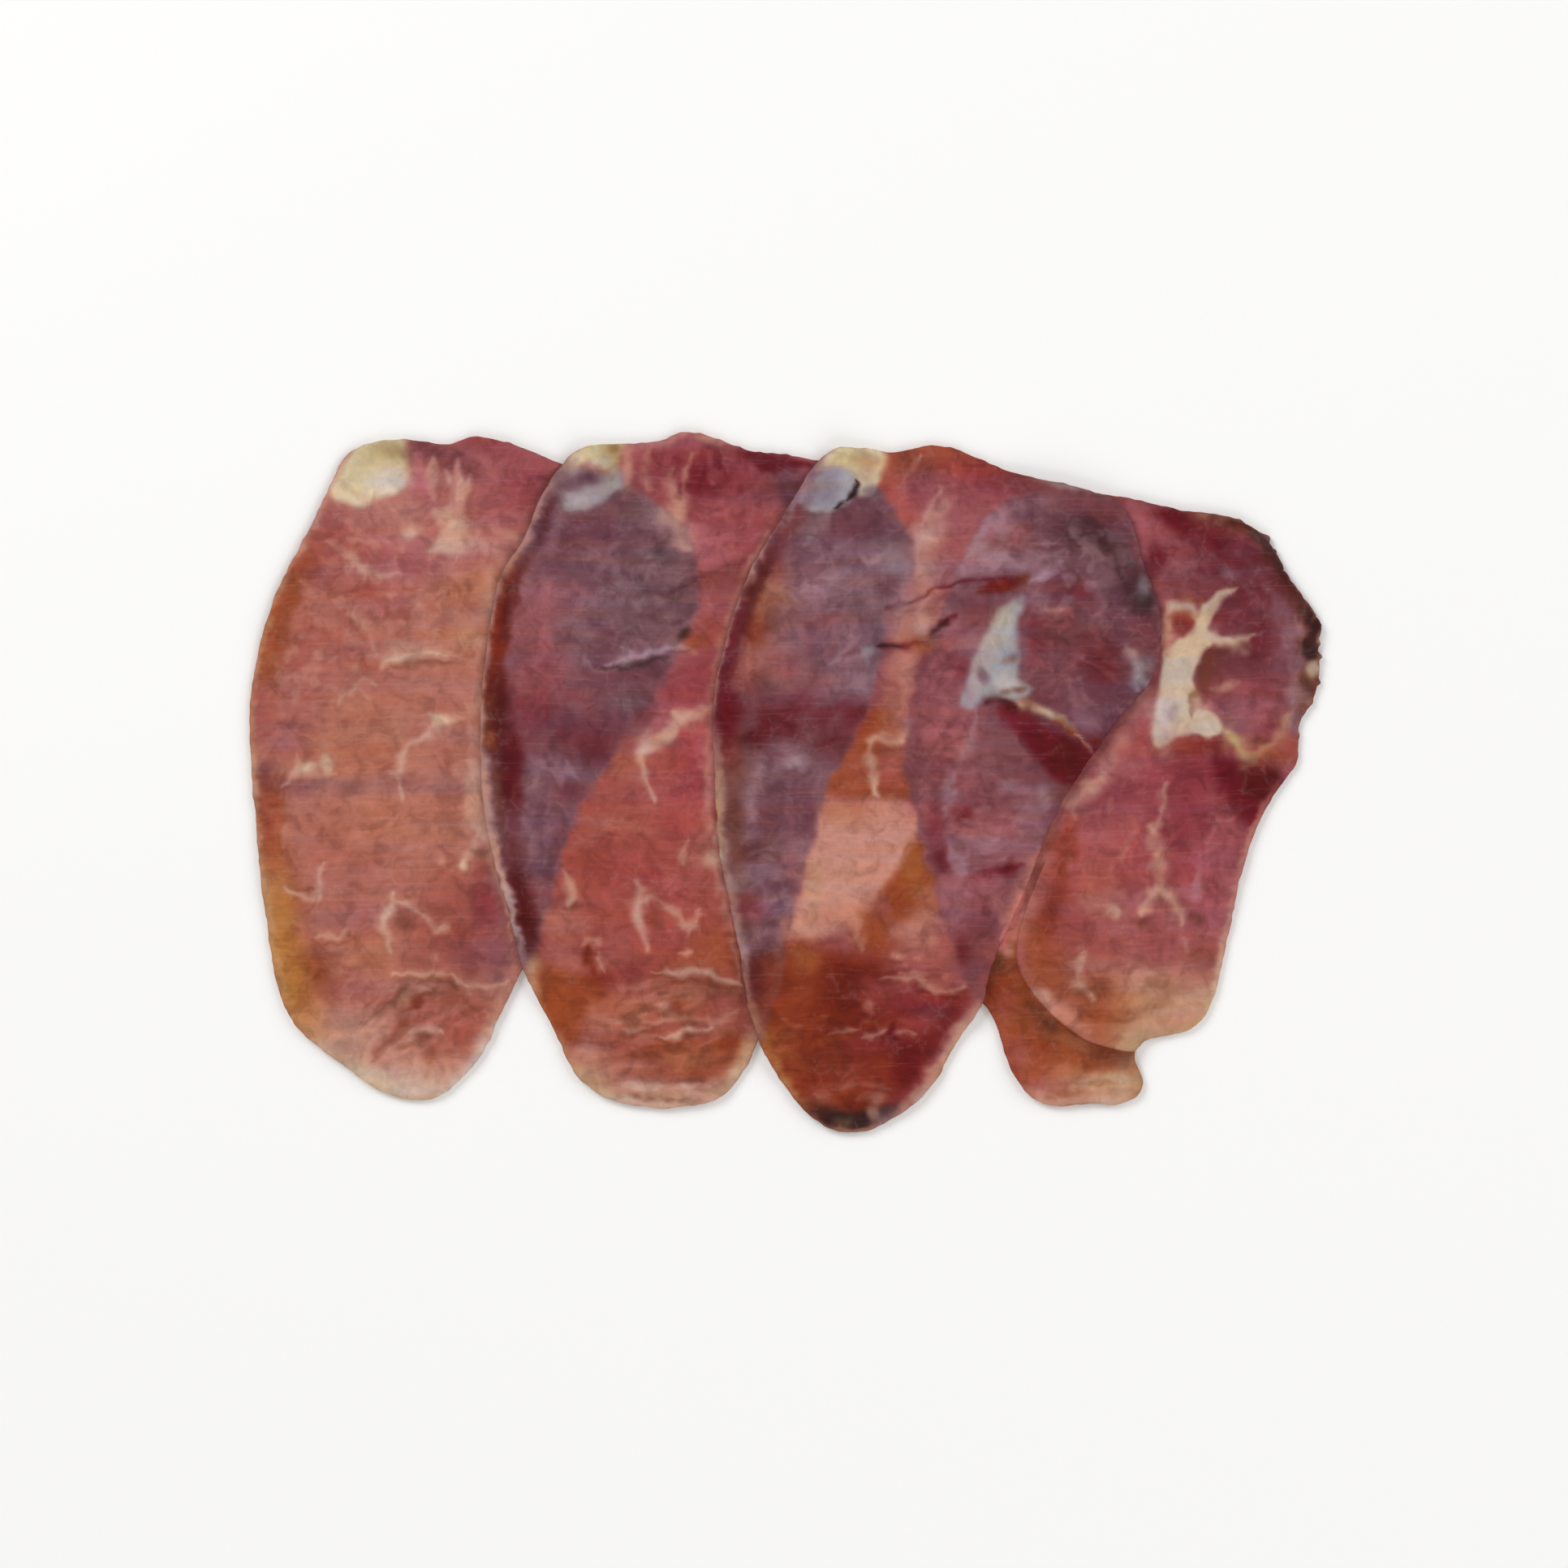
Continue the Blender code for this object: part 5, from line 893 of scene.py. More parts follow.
    seam("shell", 60, 1.3, (57.4, -3.4), (56.6, -5.4), (57.4, -7)), ("maroon", 35, 58.6, -5.4, 1.4, 1.2),
    # The turn of the fold
    seam("salmon", 80, 3.4, (52.8, -8), (50.6, -13.6), (48.6, -19), (47, -25), (46.2, -31)),
    seam("brick", 80, 5, (56, -7), (55, -14), (53.4, -20), (52.4, -26), (51.4, -32)),
    seam("russet", 55, 3, (55.6, -9.4), (55, -14), (53.6, -20), (52.4, -25), (51.4, -30)),
    ("maroon", 40, 52.6, -25.6, 2, 4), ("rust", 60, 49.2, -32, 2.6, 5),
    streaks("peach", 33, 0.9, 66, -12, 10, 12, 85, 3.5), streaks("crimson", 39, 1, 78, -12, 10, 14, 85, 3.5),
    streaks("pink", 39, 0.9, 84, -14, 4, 14, 80, 5), streaks("brick", 39, 1, 64, -28, 12, 6, 0, 5),
    streaks("umber", 33, 0.9, 66, -42, 12, 6, 10, 3.5), streaks("shell", 39, 0.8, 74, -44, 10, 5, 0, 5),
    seam("pink", 40, 1.8, (44, -28), (43.6, -31), (44.6, -34.4)),
    # Last touches
    dabs("brick", 50, 2.2, (53, -13), (52, -18)), dabs("brick", 35, 3.5, (61, -17), (77, 6.6)),
    ("russet", 40, 51.8, -27, 2, 3), dabs("rust", 40, 3, (52.6, -41.6), (62, -47), (62.6, -50)),
    dabs("crimson", 30, 3, (67, -2), (76, -18), (67, 12)),
    dabs("garnet", 25, 3.6, (87, 33), (91, 43), (92, 38), (92, 27), (96, 37), (82, 47)),
    ("garnet", 60, 76.8, 51.2, 3.2, 1.3, -20), ("garnet", 40, 84.4, 47, 3.4, 1.8, -25),
    ("garnet", 12, 82, 28, 24, 30), ("maroon", 50, 76.6, 38.8, 2.4, 2), ("maroon", 70, 87.8, 35.4, 1.8, 1.5),
    ("maroon", 30, 86.4, -17, 2.4, 3), ("oxblood", 30, 92, 2.4, 3, 3),
    hem("salmon", 50, 0.5, 1.6, 91, -10, 6, 8), hem("shell", 40, 0.4, 1.8, 88, -32, 4, 6),
    dabs("lilac", 50, 2.2, (101.4, 17), (101.4, 12)), dabs("shell", 30, 1.4, (82, 53.4), (86, 53)),
)

# The lobe under the tucked foot
LOBE = painted(
    field("rust", 100, 4, (36, -30), (48, -30), (60, -48), (72, -50), (74, -70), (30, -70)),
    # Painted light: a peach line in the shaded valley between slice 3's edge and the fold
    seam("peach", 80, 4, (47.6, -21), (45.4, -26), (44, -29.6), (43.8, -33)),
    ("umber", 75, 41.4, -35.6, 2.6, 2.6), ("russet", 60, 42, -41.6, 3, 3.4), ("brick", 50, 44, -44, 3, 3),
    ("rust", 60, 46, -47, 4, 3), ("russet", 30, 48, -52.6, 4, 2), ("brick", 50, 46.4, -55, 2.6, 3),
    ("rose", 30, 45.4, -53, 1.6, 1.2), ("salmon", 75, 50.6, -60.4, 3.4, 2.4), ("coral", 40, 49.4, -60, 2, 2),
    ("salmon", 60, 55, -58.4, 4, 2.4), ("apricot", 60, 57, -57, 4, 2), ("sand", 90, 63.6, -58.4, 5, 2.6),
    ("peach", 50, 61, -61.6, 6, 1.7), ("cream", 35, 66, -60, 2.6, 2.4), ("olive", 50, 69.4, -60.4, 1.2, 2.4),
    seam("peach", 50, 1, (58, -57), (62, -56.8), (67, -56.6)),
    seam("rust", 40, 0.9, (56, -58.8), (62, -59.2), (67, -59)),
    # Painted shadow under the rim of the tucked foot: a rust band, with a darker umber line along the rim
    field("rust", 75, 3, (46, -42), (51, -47), (57, -50.6), (66, -53), (71, -53), (69, -56.4), (60, -56.6),
          (52, -53.4), (46, -48)),
    seam("umber", 75, 3, (48.4, -43.6), (51.4, -47.4), (55.6, -51), (60.6, -53.2), (66, -54.4), (70, -55)),
    ("umber", 30, 47.6, -46.6, 3, 2.2, -45), streaks("brick", 44, 0.9, 47, -52, 6, 8, 0, 5),
    streaks("cream", 33, 0.7, 62, -60, 7, 3, 0, 5), streaks("rust", 33, 0.8, 60, -59, 8, 4, 0, 5),
    ("salmon", 35, 45.4, -55, 2.4, 3), hem("shell", 80, 0.8, 2.6, 56, -64, 16, 4),
    hem("sand", 40, 0.6, 1.8, 70, -60, 4, 6), hem("brick", 50, 1, 2, 45, -54, 4, 8),
    # The apricot eases that painted shadow, and the umber below it deepens it
    ("apricot", 40, 56, -50.8, 3.4, 1.4, -25), dabs("cream", 25, 2.6, (67, -57), (66, -62), (63, -62.4)),
    ("umber", 25, 61, -53, 3, 1.6),
    # More painted light in the shaded valley beside the fold
    seam("blush", 90, 2.4, (48, -19), (46.6, -22.4), (45.2, -26), (43.8, -29.4), (42.8, -32.4)),
)

# The tucked foot's own rim: a painted highlight along its rolled edge, tan at its right end
TOP_4 = painted(
    seam("peach", 60, 3.4, (48.8, -41), (51.6, -43.2), (55, -46.6), (59, -49)),
    seam("sand", 50, 2.4, (64.5, -51.4), (67, -52), (69, -51)), ("shell", 55, 51, -42, 1.8, 1.2, -20),
)

# What lies below and left of the fold of slice 4 is its lobe
FOLD = (
    (55.2, -7), (51.4, -14.6), (47.2, -24.6), (45.3, -31.4), (45.4, -36.2), (48.2, -41.3), (51.7, -45.4),
    (59.4, -51.2), (66.6, -53.1), (80, -53.4), (80, -75), (20, -75), (20, -7),
)

# What is laid on each slice, in order: strokes, and the place that they keep to
LAYERS = {
    "slice_1": ((SLICE_1, None),),
    "slice_2": ((SLICE_2, None), (OVER_1, "slice_1"), (TOP_2, None)),
    "slice_3": ((SLICE_3, None), (OVER_2, "slice_2"), (OVER_4, "slice_4"), (TOP_3, None)),
    "slice_4": ((SLICE_4, None), (LOBE, "lobe"), (TOP_4, "fold")),
}

# Creases: how much the surface rises or sinks in millimetres, how wide, and where it runs
CREASES = {
    "slice_1": (
        (-0.35, 2.4, (-82, -55), (-79, -51.4), (-76, -48), (-73.6, -45), (-71, -41.6)),
        (0.3, 2.4, (-84, -53), (-81, -49), (-78, -46), (-75, -42), (-72.6, -40)),
        (-0.25, 1.8, (-78, -43.4), (-75.4, -40.8), (-71.6, -38.6), (-67.6, -38.8), (-65, -41)),
        (0.25, 1.8, (-77, -37.4), (-70, -37.6), (-65.6, -38), (-63, -40), (-59, -40.9), (-54.8, -39.8)),
        (0.3, 1.8, (-76, -51), (-72.6, -48.6), (-70, -48.2), (-67, -49)),
        (-0.3, 1.6, (-73, -50.4), (-71, -50), (-68, -50.4)),
        (-0.15, 1.6, (-69, 36), (-65, 37.8), (-60.6, 39.4)),
        (-0.2, 1.4, (-79, 23), (-74, 23.6), (-66, 24.2)),
    ),
    "slice_2": (
        (0.3, 1.6, (-24.4, -50.4), (-21.4, -49.6), (-19.8, -48.4), (-17, -48.6), (-14.8, -48)),
        (-0.35, 1.4, (-22, -51), (-18.7, -49.6), (-16, -50)),
        (-0.25, 1.4, (-38.6, -32.8), (-38.4, -34.6), (-38, -36.6)),
        (0.2, 1.6, (-25, -37.4), (-19, -37.2), (-14.6, -37.6), (-12, -39.2), (-8.8, -39.8)),
        (0.25, 2.2, (-40, -60), (-30, -61), (-20, -61), (-12, -59)),
        (-0.2, 1.2, (-34, -58.6), (-26, -59), (-18, -58.8)),
        (-0.25, 1.2, (-23.6, 36.6), (-20.6, 38.8), (-17, 40.6), (-12.5, 42), (-8, 43.6)),
        (-0.25, 1.6, (-36.6, 22), (-33, 22.6), (-28, 23.6), (-22, 24.8)),
        (0.25, 2.6, (-45.4, 60), (-49, 54), (-52, 47), (-54.6, 41)),
        (-0.3, 3.0, (-48, 52.6), (-51, 46), (-55, 38), (-57.4, 26), (-57.6, 14), (-56, 4), (-55.4, -6)),
    ),
    "slice_3": (
        (-0.25, 1.2, (13.4, 60.4), (13.6, 58.4), (12.8, 56.4), (10.6, 54.8), (8, 54)),
        (-0.3, 1.2, (18.6, 32.8), (23, 35), (26.4, 36), (29.4, 38), (33, 39.2), (38, 39.8), (47, 40.6)),
        (-0.3, 1.2, (17.6, 26.6), (20.6, 26.8), (23.6, 26.6), (26.8, 27.8), (30, 30.4), (33.4, 33)),
        (-0.3, 2.0, (36.6, -18.2), (40.6, -17.6), (46.6, -16.4)),
        (0.25, 2.0, (33, -13), (36, -16), (42, -15), (47, -14)),
        (0.2, 1.4, (18.6, -38.4), (23, -38.2), (28, -39.8), (31.6, -40.8), (35.4, -39.6)),
        (0.2, 1.2, (14.6, -50.6), (18.4, -49.4), (20.4, -48.4)),
        (-0.3, 3.0, (-2, 49), (-5, 43), (-8, 35), (-11, 26), (-12, 14), (-11, 2), (-10.6, -10)),
        (0.2, 1.6, (45, 15.8), (49, 14.2), (54.6, 11.2), (60, 6.6)),
        (-0.2, 1.4, (46.8, 34), (45.6, 28), (46.2, 22), (48, 18)),
        (-0.15, 1.2, (2, 44), (4, 40), (3, 34)),
    ),
    "slice_4": (
        (-0.3, 3.6, (55.8, -8.6), (55, -14), (53.4, -20), (52.4, -25), (51.4, -30), (50, -35)),
        (0.25, 3.0, (52.4, -9), (50, -14), (48, -20), (46.8, -26), (46.4, -32)),
        (0.25, 2.4, (49, -41), (52, -44), (56, -47.6), (61, -50.4)),
        (-0.2, 1.2, (73.4, -22), (73.8, -24.6)),
        (-0.15, 2.0, (75, -41), (71, -44.8), (68, -47)),
    ),
}


# ---------------------------------------------------------------- the panel's values


def tint(name, description, red, green, blue):
    """A colour as it shows on a screen, from 0 to 255."""
    return bpy.props.FloatVectorProperty(
        name=name, description=description, subtype="COLOR_GAMMA", min=0.0, max=1.0,
        default=(red / 255, green / 255, blue / 255),
    )


def length(name, description, millimetres):
    """A length, which Blender keeps in metres."""
    return bpy.props.FloatProperty(
        name=name, description=description, unit="LENGTH", precision=5, default=millimetres * MM)


class ProsciuttoTints(bpy.types.PropertyGroup):
    """The colours of cured lamb, from the palest fat to the driest rim"""

    cream: tint("Cream", "Fat of the caps and thick seams", 212, 192, 164)
    ivory: tint("Ivory", "Whitest, slightly pink fat", 214, 196, 190)
    straw: tint("Straw", "Yellow fat", 198, 172, 122)
    olive: tint("Olive", "Old, dark yellow fat", 158, 128, 84)
    pearl: tint("Pearl", "Fat seen grey over dark meat", 156, 150, 157)
    shell: tint("Shell", "Thin seams and membranes", 196, 148, 130)
    sand: tint("Sand", "Dry tan foot of a slice", 188, 144, 112)
    peach: tint("Peach", "Palest lean", 196, 134, 118)
    # Painted light: a bright coral laid in the shaded valley beside the fold of slice 4, so that it does not
    # look dark
    blush: tint("Valley light", "Lean that light comes through", 226, 132, 126)
    salmon: tint("Salmon", "Pale cured muscle", 172, 107, 94)
    apricot: tint("Apricot", "Orange lean", 182, 112, 78)
    rose: tint("Rose", "Pink-red muscle", 158, 86, 88)
    pink: tint("Pink", "Brightest pink muscle", 176, 98, 106)
    brick: tint("Brick", "Red-brown muscle", 156, 74, 62)
    coral: tint("Coral", "Brightest red muscle", 170, 70, 70)
    crimson: tint("Crimson", "Deep pink-red muscle", 128, 46, 56)
    garnet: tint("Garnet", "Deep red", 98, 24, 32)
    oxblood: tint("Oxblood", "Darkest red", 80, 26, 26)
    maroon: tint("Maroon", "Dull dark red", 110, 54, 60)
    rust: tint("Rust", "Orange-brown lean", 150, 72, 42)
    russet: tint("Russet", "Dark orange-brown lean", 120, 42, 28)
    umber: tint("Umber", "Brown of creases and shadows", 106, 56, 40)
    amber: tint("Amber", "Dry yellow-brown edge", 176, 114, 58)
    # Soot is the dried rim's colour, and also painted shade deep in tears, cracks and grooves
    soot: tint("Soot", "Nearly black, dried rim", 52, 34, 34)
    plum: tint("Plum", "Dark purple meat under a slice", 98, 58, 70)
    mauve: tint("Mauve", "Grey-purple meat under a slice", 123, 83, 90)
    # Lilac is pale seams seen through a slice, and also painted sheen over the purple patches
    lilac: tint("Lilac", "Pale purple veil", 160, 124, 133)
    slate: tint("Slate", "Grey meat under a slice", 110, 84, 92)


class ProsciuttoSizes(bpy.types.PropertyGroup):
    """How deep and how fine the surface is"""

    wander: length("Wander", "How far painted edges stray", 0.7)
    swell: length("Swell", "Height of the slow unevenness of a slice", 0.16)
    pucker: length("Pucker", "Height of the fine unevenness of a slice", 0.06)
    crag: length("Crag", "How far the cut edge strays", 0.4)
    dry_crag: length("Dry crag", "How far the dried rim at the right strays", 1.3)
    curl: length("Curl", "How far a free edge lifts", 0.35)
    lump: length("Lump", "Size of the mottling", 4.0)
    fibre: length("Fibre", "Length of the muscle fibres that show", 9.0)
    grain: length("Grain", "Size of the finest grain", 0.5)


class ProsciuttoStage(bpy.types.PropertyGroup):
    """The floor, the lights and the camera"""

    floor: tint("Floor", "The pale floor", 254, 254, 253)
    light: bpy.props.FloatProperty(
        name="Light", description="How bright a white, level surface looks", default=0.9)
    haze: bpy.props.FloatProperty(
        name="Haze", description="How bright the moist sheen alone looks", default=0.01)
    distance: bpy.props.FloatProperty(
        name="Distance", description="How high the camera is", unit="LENGTH", default=0.9)
    view_width: bpy.props.FloatProperty(
        name="View width", description="How much of the floor the camera sees across", unit="LENGTH",
        default=0.30912)


# ---------------------------------------------------------------- a slice's mesh

# A rim turns by more than this, and keeps this share of its sharpness when the copy is refined
RIM_TURN = math.radians(50)
RIM_SHARPNESS = 0.75
# The widths of the clouds that make an edge uneven, in millimetres: slow and quick sway, fraying, gaps, rags
SLOW, QUICK, FRAY, GAPS, RAGS = 5.0, 1.7, 1.4, 2.1, 0.9
# How softly one layer ends on the next, in millimetres: at the rim of the slice below, and at the fold
LAP_SOFTNESS, FOLD_SOFTNESS = 2.2, 1.0


def rim_loop(node):
    """The outline of a slice's solid from above, in millimetres, in order."""
    mesh = node.data
    where = {}
    index = [where.setdefault(tuple(round(c, 6) for c in vertex.co), len(where)) for vertex in mesh.vertices]
    places = np.array(list(where)) / MM
    under = set()
    for polygon in mesh.polygons:
        if polygon.normal.z < -0.5:
            corners = [index[corner] for corner in polygon.vertices]
            for a, b in zip(corners, corners[1:] + corners[:1]):
                if (b, a) in under:
                    under.remove((b, a))
                else:
                    under.add((a, b))
    follows = dict(under)
    loop = [min(follows)]
    while follows[loop[-1]] != loop[0]:
        loop.append(follows[loop[-1]])
    return places[loop, :2]


def only(piece):
    """Leaves that piece alone selected and active."""
    bpy.ops.object.select_all(action="DESELECT")
    piece.select_set(True)
    bpy.context.view_layer.objects.active = piece


def copy_of(node, name):
    """A merged copy of a solid, with its rims creased so that they stay crisp when it is refined."""
    piece = node.copy()
    piece.data = node.data.copy()
    piece.name = piece.data.name = name
    for key in list(piece.keys()):
        del piece[key]
    piece.parent = None
    piece.data.materials.clear()
    bpy.context.scene.collection.objects.link(piece)
    only(piece)
    bpy.ops.object.mode_set(mode="EDIT")
    bpy.ops.mesh.select_all(action="SELECT")
    bpy.ops.mesh.remove_doubles(threshold=1e-6)
    bpy.ops.mesh.customdata_custom_splitnormals_clear()
    bpy.ops.mesh.select_mode(type="EDGE")
    bpy.ops.mesh.select_all(action="DESELECT")
    bpy.ops.mesh.edges_select_sharp(sharpness=RIM_TURN)
    bpy.ops.transform.edge_crease(value=RIM_SHARPNESS)
    bpy.ops.object.mode_set(mode="OBJECT")
    return piece


def refine(piece):
    """Four facets for each along every edge, and twice as many again on the face that shows."""
    only(piece)
    modifier = piece.modifiers.new("Refine", "SUBSURF")
    modifier.levels = modifier.render_levels = 2
    bpy.ops.object.modifier_apply(modifier=modifier.name)
    mesh = piece.data
    facing = np.zeros(len(mesh.polygons) * 3, np.float32)
    mesh.polygons.foreach_get("normal", facing)
    bpy.ops.object.mode_set(mode="EDIT")
    bpy.ops.mesh.select_mode(type="FACE")
    bpy.ops.mesh.select_all(action="DESELECT")
    bpy.ops.object.mode_set(mode="OBJECT")
    mesh.polygons.foreach_set("select", facing.reshape(-1, 3)[:, 2] > 0.2)
    bpy.ops.object.mode_set(mode="EDIT")
    bpy.ops.mesh.subdivide(number_cuts=1)
    bpy.ops.object.mode_set(mode="OBJECT")
    bpy.ops.object.shade_smooth()


class Sheet:
    """A slice seen from above while things are laid on it, in millimetres."""

    def __init__(self, piece, name, loops, tints, sizes):
        self.mesh = piece.data
        self.solid = self.read(self.mesh.vertices, "co") / MM
        self.facing = self.read(self.mesh.vertex_normals, "vector")
        self.points = self.solid[:, :2].copy()
        self.loops = loops
        self.tints = tints
        self.depth = depth_inside(self.points, loops[name])
        self.seed = 10 * list(loops).index(name)
        stray = sizes.wander / MM
        self.broken = self.cloud(GAPS, 0)
        self.wander = self.points + np.column_stack([
            0.5 * stray * self.cloud(SLOW, 1) + 0.45 * stray * self.cloud(QUICK, 2),
            0.5 * stray * self.cloud(SLOW, 3) + 0.45 * stray * self.cloud(QUICK, 4),
        ])
        fray = np.column_stack([self.cloud(FRAY, 11), self.cloud(FRAY, 12)])
        self.frayed = self.wander + 0.5 * stray * fray
        self.ragged = self.depth + 0.5 * self.broken + 0.35 * self.cloud(RAGS, 13)
        self.colour = np.tile(np.array(getattr(tints, BASE[name])), (len(self.points), 1))
        self.fatty = np.zeros(len(self.points))
        self.proud = np.zeros(len(self.points))

    @staticmethod
    def read(values, key):
        """One vector for each vertex."""
        found = np.zeros(len(values) * 3, np.float32)
        values.foreach_get(key, found)
        return found.reshape(-1, 3).astype(float)

    def cloud(self, size, turn):
        """Smooth noise of this slice's own, a different one for each turn."""
        return cloud(self.points, size, self.seed + turn)

    def near(self, line, reach):
        """Which points are in the line's box, widened by that reach."""
        low, high = line.min(axis=0) - reach, line.max(axis=0) + reach
        return np.flatnonzero(((self.wander > low) & (self.wander < high)).all(axis=1))

    def place(self, name):
        """How much each point belongs to a place: over another slice, or on one side of the fold."""
        if name is None:
            return 1.0
        if name == "lobe":
            return eased(0.5 + depth_inside(self.points, np.array(FOLD)) / FOLD_SOFTNESS)
        if name == "fold":
            return 1.0 - self.place("lobe")
        return eased(0.5 + (depth_inside(self.wander, self.loops[name]) + 0.4 * self.broken) / LAP_SOFTNESS)

    def lay(self, strokes, place):
        """Lays strokes on the colour, the fat and the relief, one after another, where they may be."""
        share = self.place(place)
        for name, mask in strokes:
            cover = np.clip(mask(self) * share, 0.0, 1.0)
            self.colour += cover[:, None] * (np.array(getattr(self.tints, name)) - self.colour)
            self.fatty += cover * (FATTY.get(name, 0.0) - self.fatty)
            self.proud += cover * (PROUD.get(name, 0.0) - self.proud)

    def crease(self, rise, width, *corners):
        """Raises or sinks the surface along a line, less towards its ends."""
        distance, along = distance_to(self.wander, curved(corners))
        ends = eased(4.0 * np.minimum(along, 1.0 - along))
        self.proud += rise * ends * np.exp(-FADE * (distance / (0.5 * width)) ** 2)


# The widths of the clouds that a slice swells, puckers, curls and was cut by, in millimetres
SWELL_WIDTH, PUCKER_WIDTHS, CURL_WIDTH, CRAG_WIDTHS = 13.0, (3.1, 1.3), 17.0, (3.4, 1.3)
# How far in from its rim a slice curls up, lies calmly and is cut unevenly, and how softly a cover ends
CURL_REACH, CALM_REACH, CRAG_REACH, COVER_SOFTNESS = 7.0, 4.0, 1.2, 4.0
# The dried rim sets in from this place, over these distances, both along X and along Y
DRY_FROM, DRY_OVER = (88.0, 4.0), (10.0, 8.0)


def relieve(sheet, covers, sizes):
    """Moves the slice's points: its face up and down, its edge in and out, and its free edge up."""
    points, depth = sheet.points, sheet.depth
    covered = np.zeros(len(points))
    for cover in covers:
        covered = np.maximum(covered, eased(0.5 + depth_inside(points, sheet.loops[cover]) / COVER_SOFTNESS))
    free = 1.0 - covered
    upper = eased(1.4 * sheet.facing[:, 2])
    calm = eased(depth / CALM_REACH)
    swell = sizes.swell / MM * sheet.cloud(SWELL_WIDTH, 5)
    pucker = sizes.pucker / MM * (sheet.cloud(PUCKER_WIDTHS[0], 6) + 0.6 * sheet.cloud(PUCKER_WIDTHS[1], 7))
    face = upper * (0.25 + 0.75 * free) * (sheet.proud + pucker + swell * calm)
    lift = sizes.curl / MM * eased(0.5 + sheet.cloud(CURL_WIDTH, 8)) * free * eased(1.0 - depth / CURL_REACH)
    solid = sheet.solid.copy()
    solid[:, 2] += face + lift
    outward = sheet.facing[:, :2]
    outward = outward * np.minimum(1.0, 2.0 * np.linalg.norm(outward, axis=1))[:, None]
    dry = eased((points - DRY_FROM) / DRY_OVER).prod(axis=1)
    stray = sizes.crag / MM + (sizes.dry_crag - sizes.crag) / MM * dry
    jitter = sheet.cloud(CRAG_WIDTHS[0], 9) * 0.6 + sheet.cloud(CRAG_WIDTHS[1], 10) * (0.4 + 0.4 * dry)
    rim = eased(1.0 - depth / CRAG_REACH)
    solid[:, :2] += outward * (stray * (jitter - 0.4) * rim)[:, None]
    solid[:, 2] = np.clip(solid[:, 2], 0.0, CAD_BOX[1][2] / MM)
    sheet.mesh.vertices.foreach_set("co", (solid * MM).astype(np.float32).ravel())
    sheet.mesh.update()


def linear(colour):
    """Screen colours as light."""
    return np.where(colour > 0.04045, ((colour + 0.055) / 1.055) ** 2.4, colour / 12.92)


# The darkest that a surface may be, and how far in the dry rim reaches, in millimetres
DARKEST = 0.002
EDGE_REACH = 2.5


def keep_paint(sheet, light, haze):
    """Stores what was laid on: the colour, less the haze of the moist surface, and where fat and rim are."""
    flesh = sheet.mesh.attributes.new("flesh", "FLOAT_COLOR", "POINT")
    colour = np.ones((len(sheet.points), 4), np.float32)
    colour[:, :3] = np.maximum(linear(np.clip(sheet.colour, 0.0, 1.0)) - haze, DARKEST) / light
    flesh.data.foreach_set("color", colour.ravel())
    for name, values in (("fatty", sheet.fatty), ("edge", eased(1.0 - sheet.depth / EDGE_REACH))):
        sheet.mesh.attributes.new(name, "FLOAT", "POINT").data.foreach_set("value", values.astype(np.float32))


# ---------------------------------------------------------------- the moist, fibrous finish

# How many times longer than wide the fibres are, along their run, across it and through the slice
FIBRE_STRETCH = (12.0, 1.0, 4.0)
# What the flesh's colour is multiplied by where it is warmer, cooler and deeper
WARMER, COOLER, DEEPER = (0.98, 0.97, 0.89, 1.0), (0.92, 1.0, 1.07, 1.0), (0.66, 0.5, 0.52, 1.0)
# How strongly each pattern lightens and darkens the lean, and how much of the relief it makes
SHADE = {"bundles": 0.7, "mottle": 0.26, "fibres": 0.38, "grain": 0.07}
RELIEF = {"bundles": 0.5, "mottle": 0.12, "fibres": 0.3, "grain": 0.05, "web": 0.1}
RELIEF_STRENGTH, RELIEF_HEIGHT = 0.32, 0.22 * MM


class Wire:
    """A number that a material works out, to do sums with. Other nodes come from its node method."""

    def __init__(self, tree, socket=None):
        self.tree = tree
        self.socket = socket

    def node(self, kind, settings=None, sockets=None, output=0):
        """One output of a new node, whose settings are set first and whose sockets are then set or linked."""
        made = self.tree.nodes.new(kind)
        for key, value in (settings or {}).items():
            setattr(made, key, value)
        for key, value in (sockets or {}).items():
            if isinstance(value, Wire):
                self.tree.links.new(value.socket, made.inputs[key])
            else:
                made.inputs[key].default_value = value
        return Wire(self.tree, made.outputs[output] if len(made.outputs) else None)

    def sum(self, operation, first, second):
        return self.node("ShaderNodeMath", {"operation": operation}, {0: first, 1: second})

    def __add__(self, other):
        return self.sum("ADD", self, other)

    def __sub__(self, other):
        return self.sum("SUBTRACT", self, other)

    def __rsub__(self, other):
        return self.sum("SUBTRACT", other, self)

    def __mul__(self, other):
        return self.sum("MULTIPLY", self, other)

    __radd__ = __add__
    __rmul__ = __mul__

    def between(self, low, high):
        """0 at low, 1 at high, and a smooth change between."""
        smooth = {"interpolation_type": "SMOOTHSTEP"}
        return self.node("ShaderNodeMapRange", smooth, {0: self, 1: low, 2: high})

    def noise(self, place, size, detail=3.0, roughness=0.55, warp=0.0):
        """Noise about 0.5 whose lumps are that size, in metres."""
        return self.node("ShaderNodeTexNoise", {}, {
            "Vector": place, "Scale": 1.0 / size, "Detail": detail, "Roughness": roughness,
            "Distortion": warp,
        })

    def mixed(self, share, first, second, blend="MIX"):
        """Two colours blended."""
        return self.node(
            "ShaderNodeMix", {"data_type": "RGBA", "blend_type": blend},
            {0: share, 6: first, 7: second}, output=2,
        )


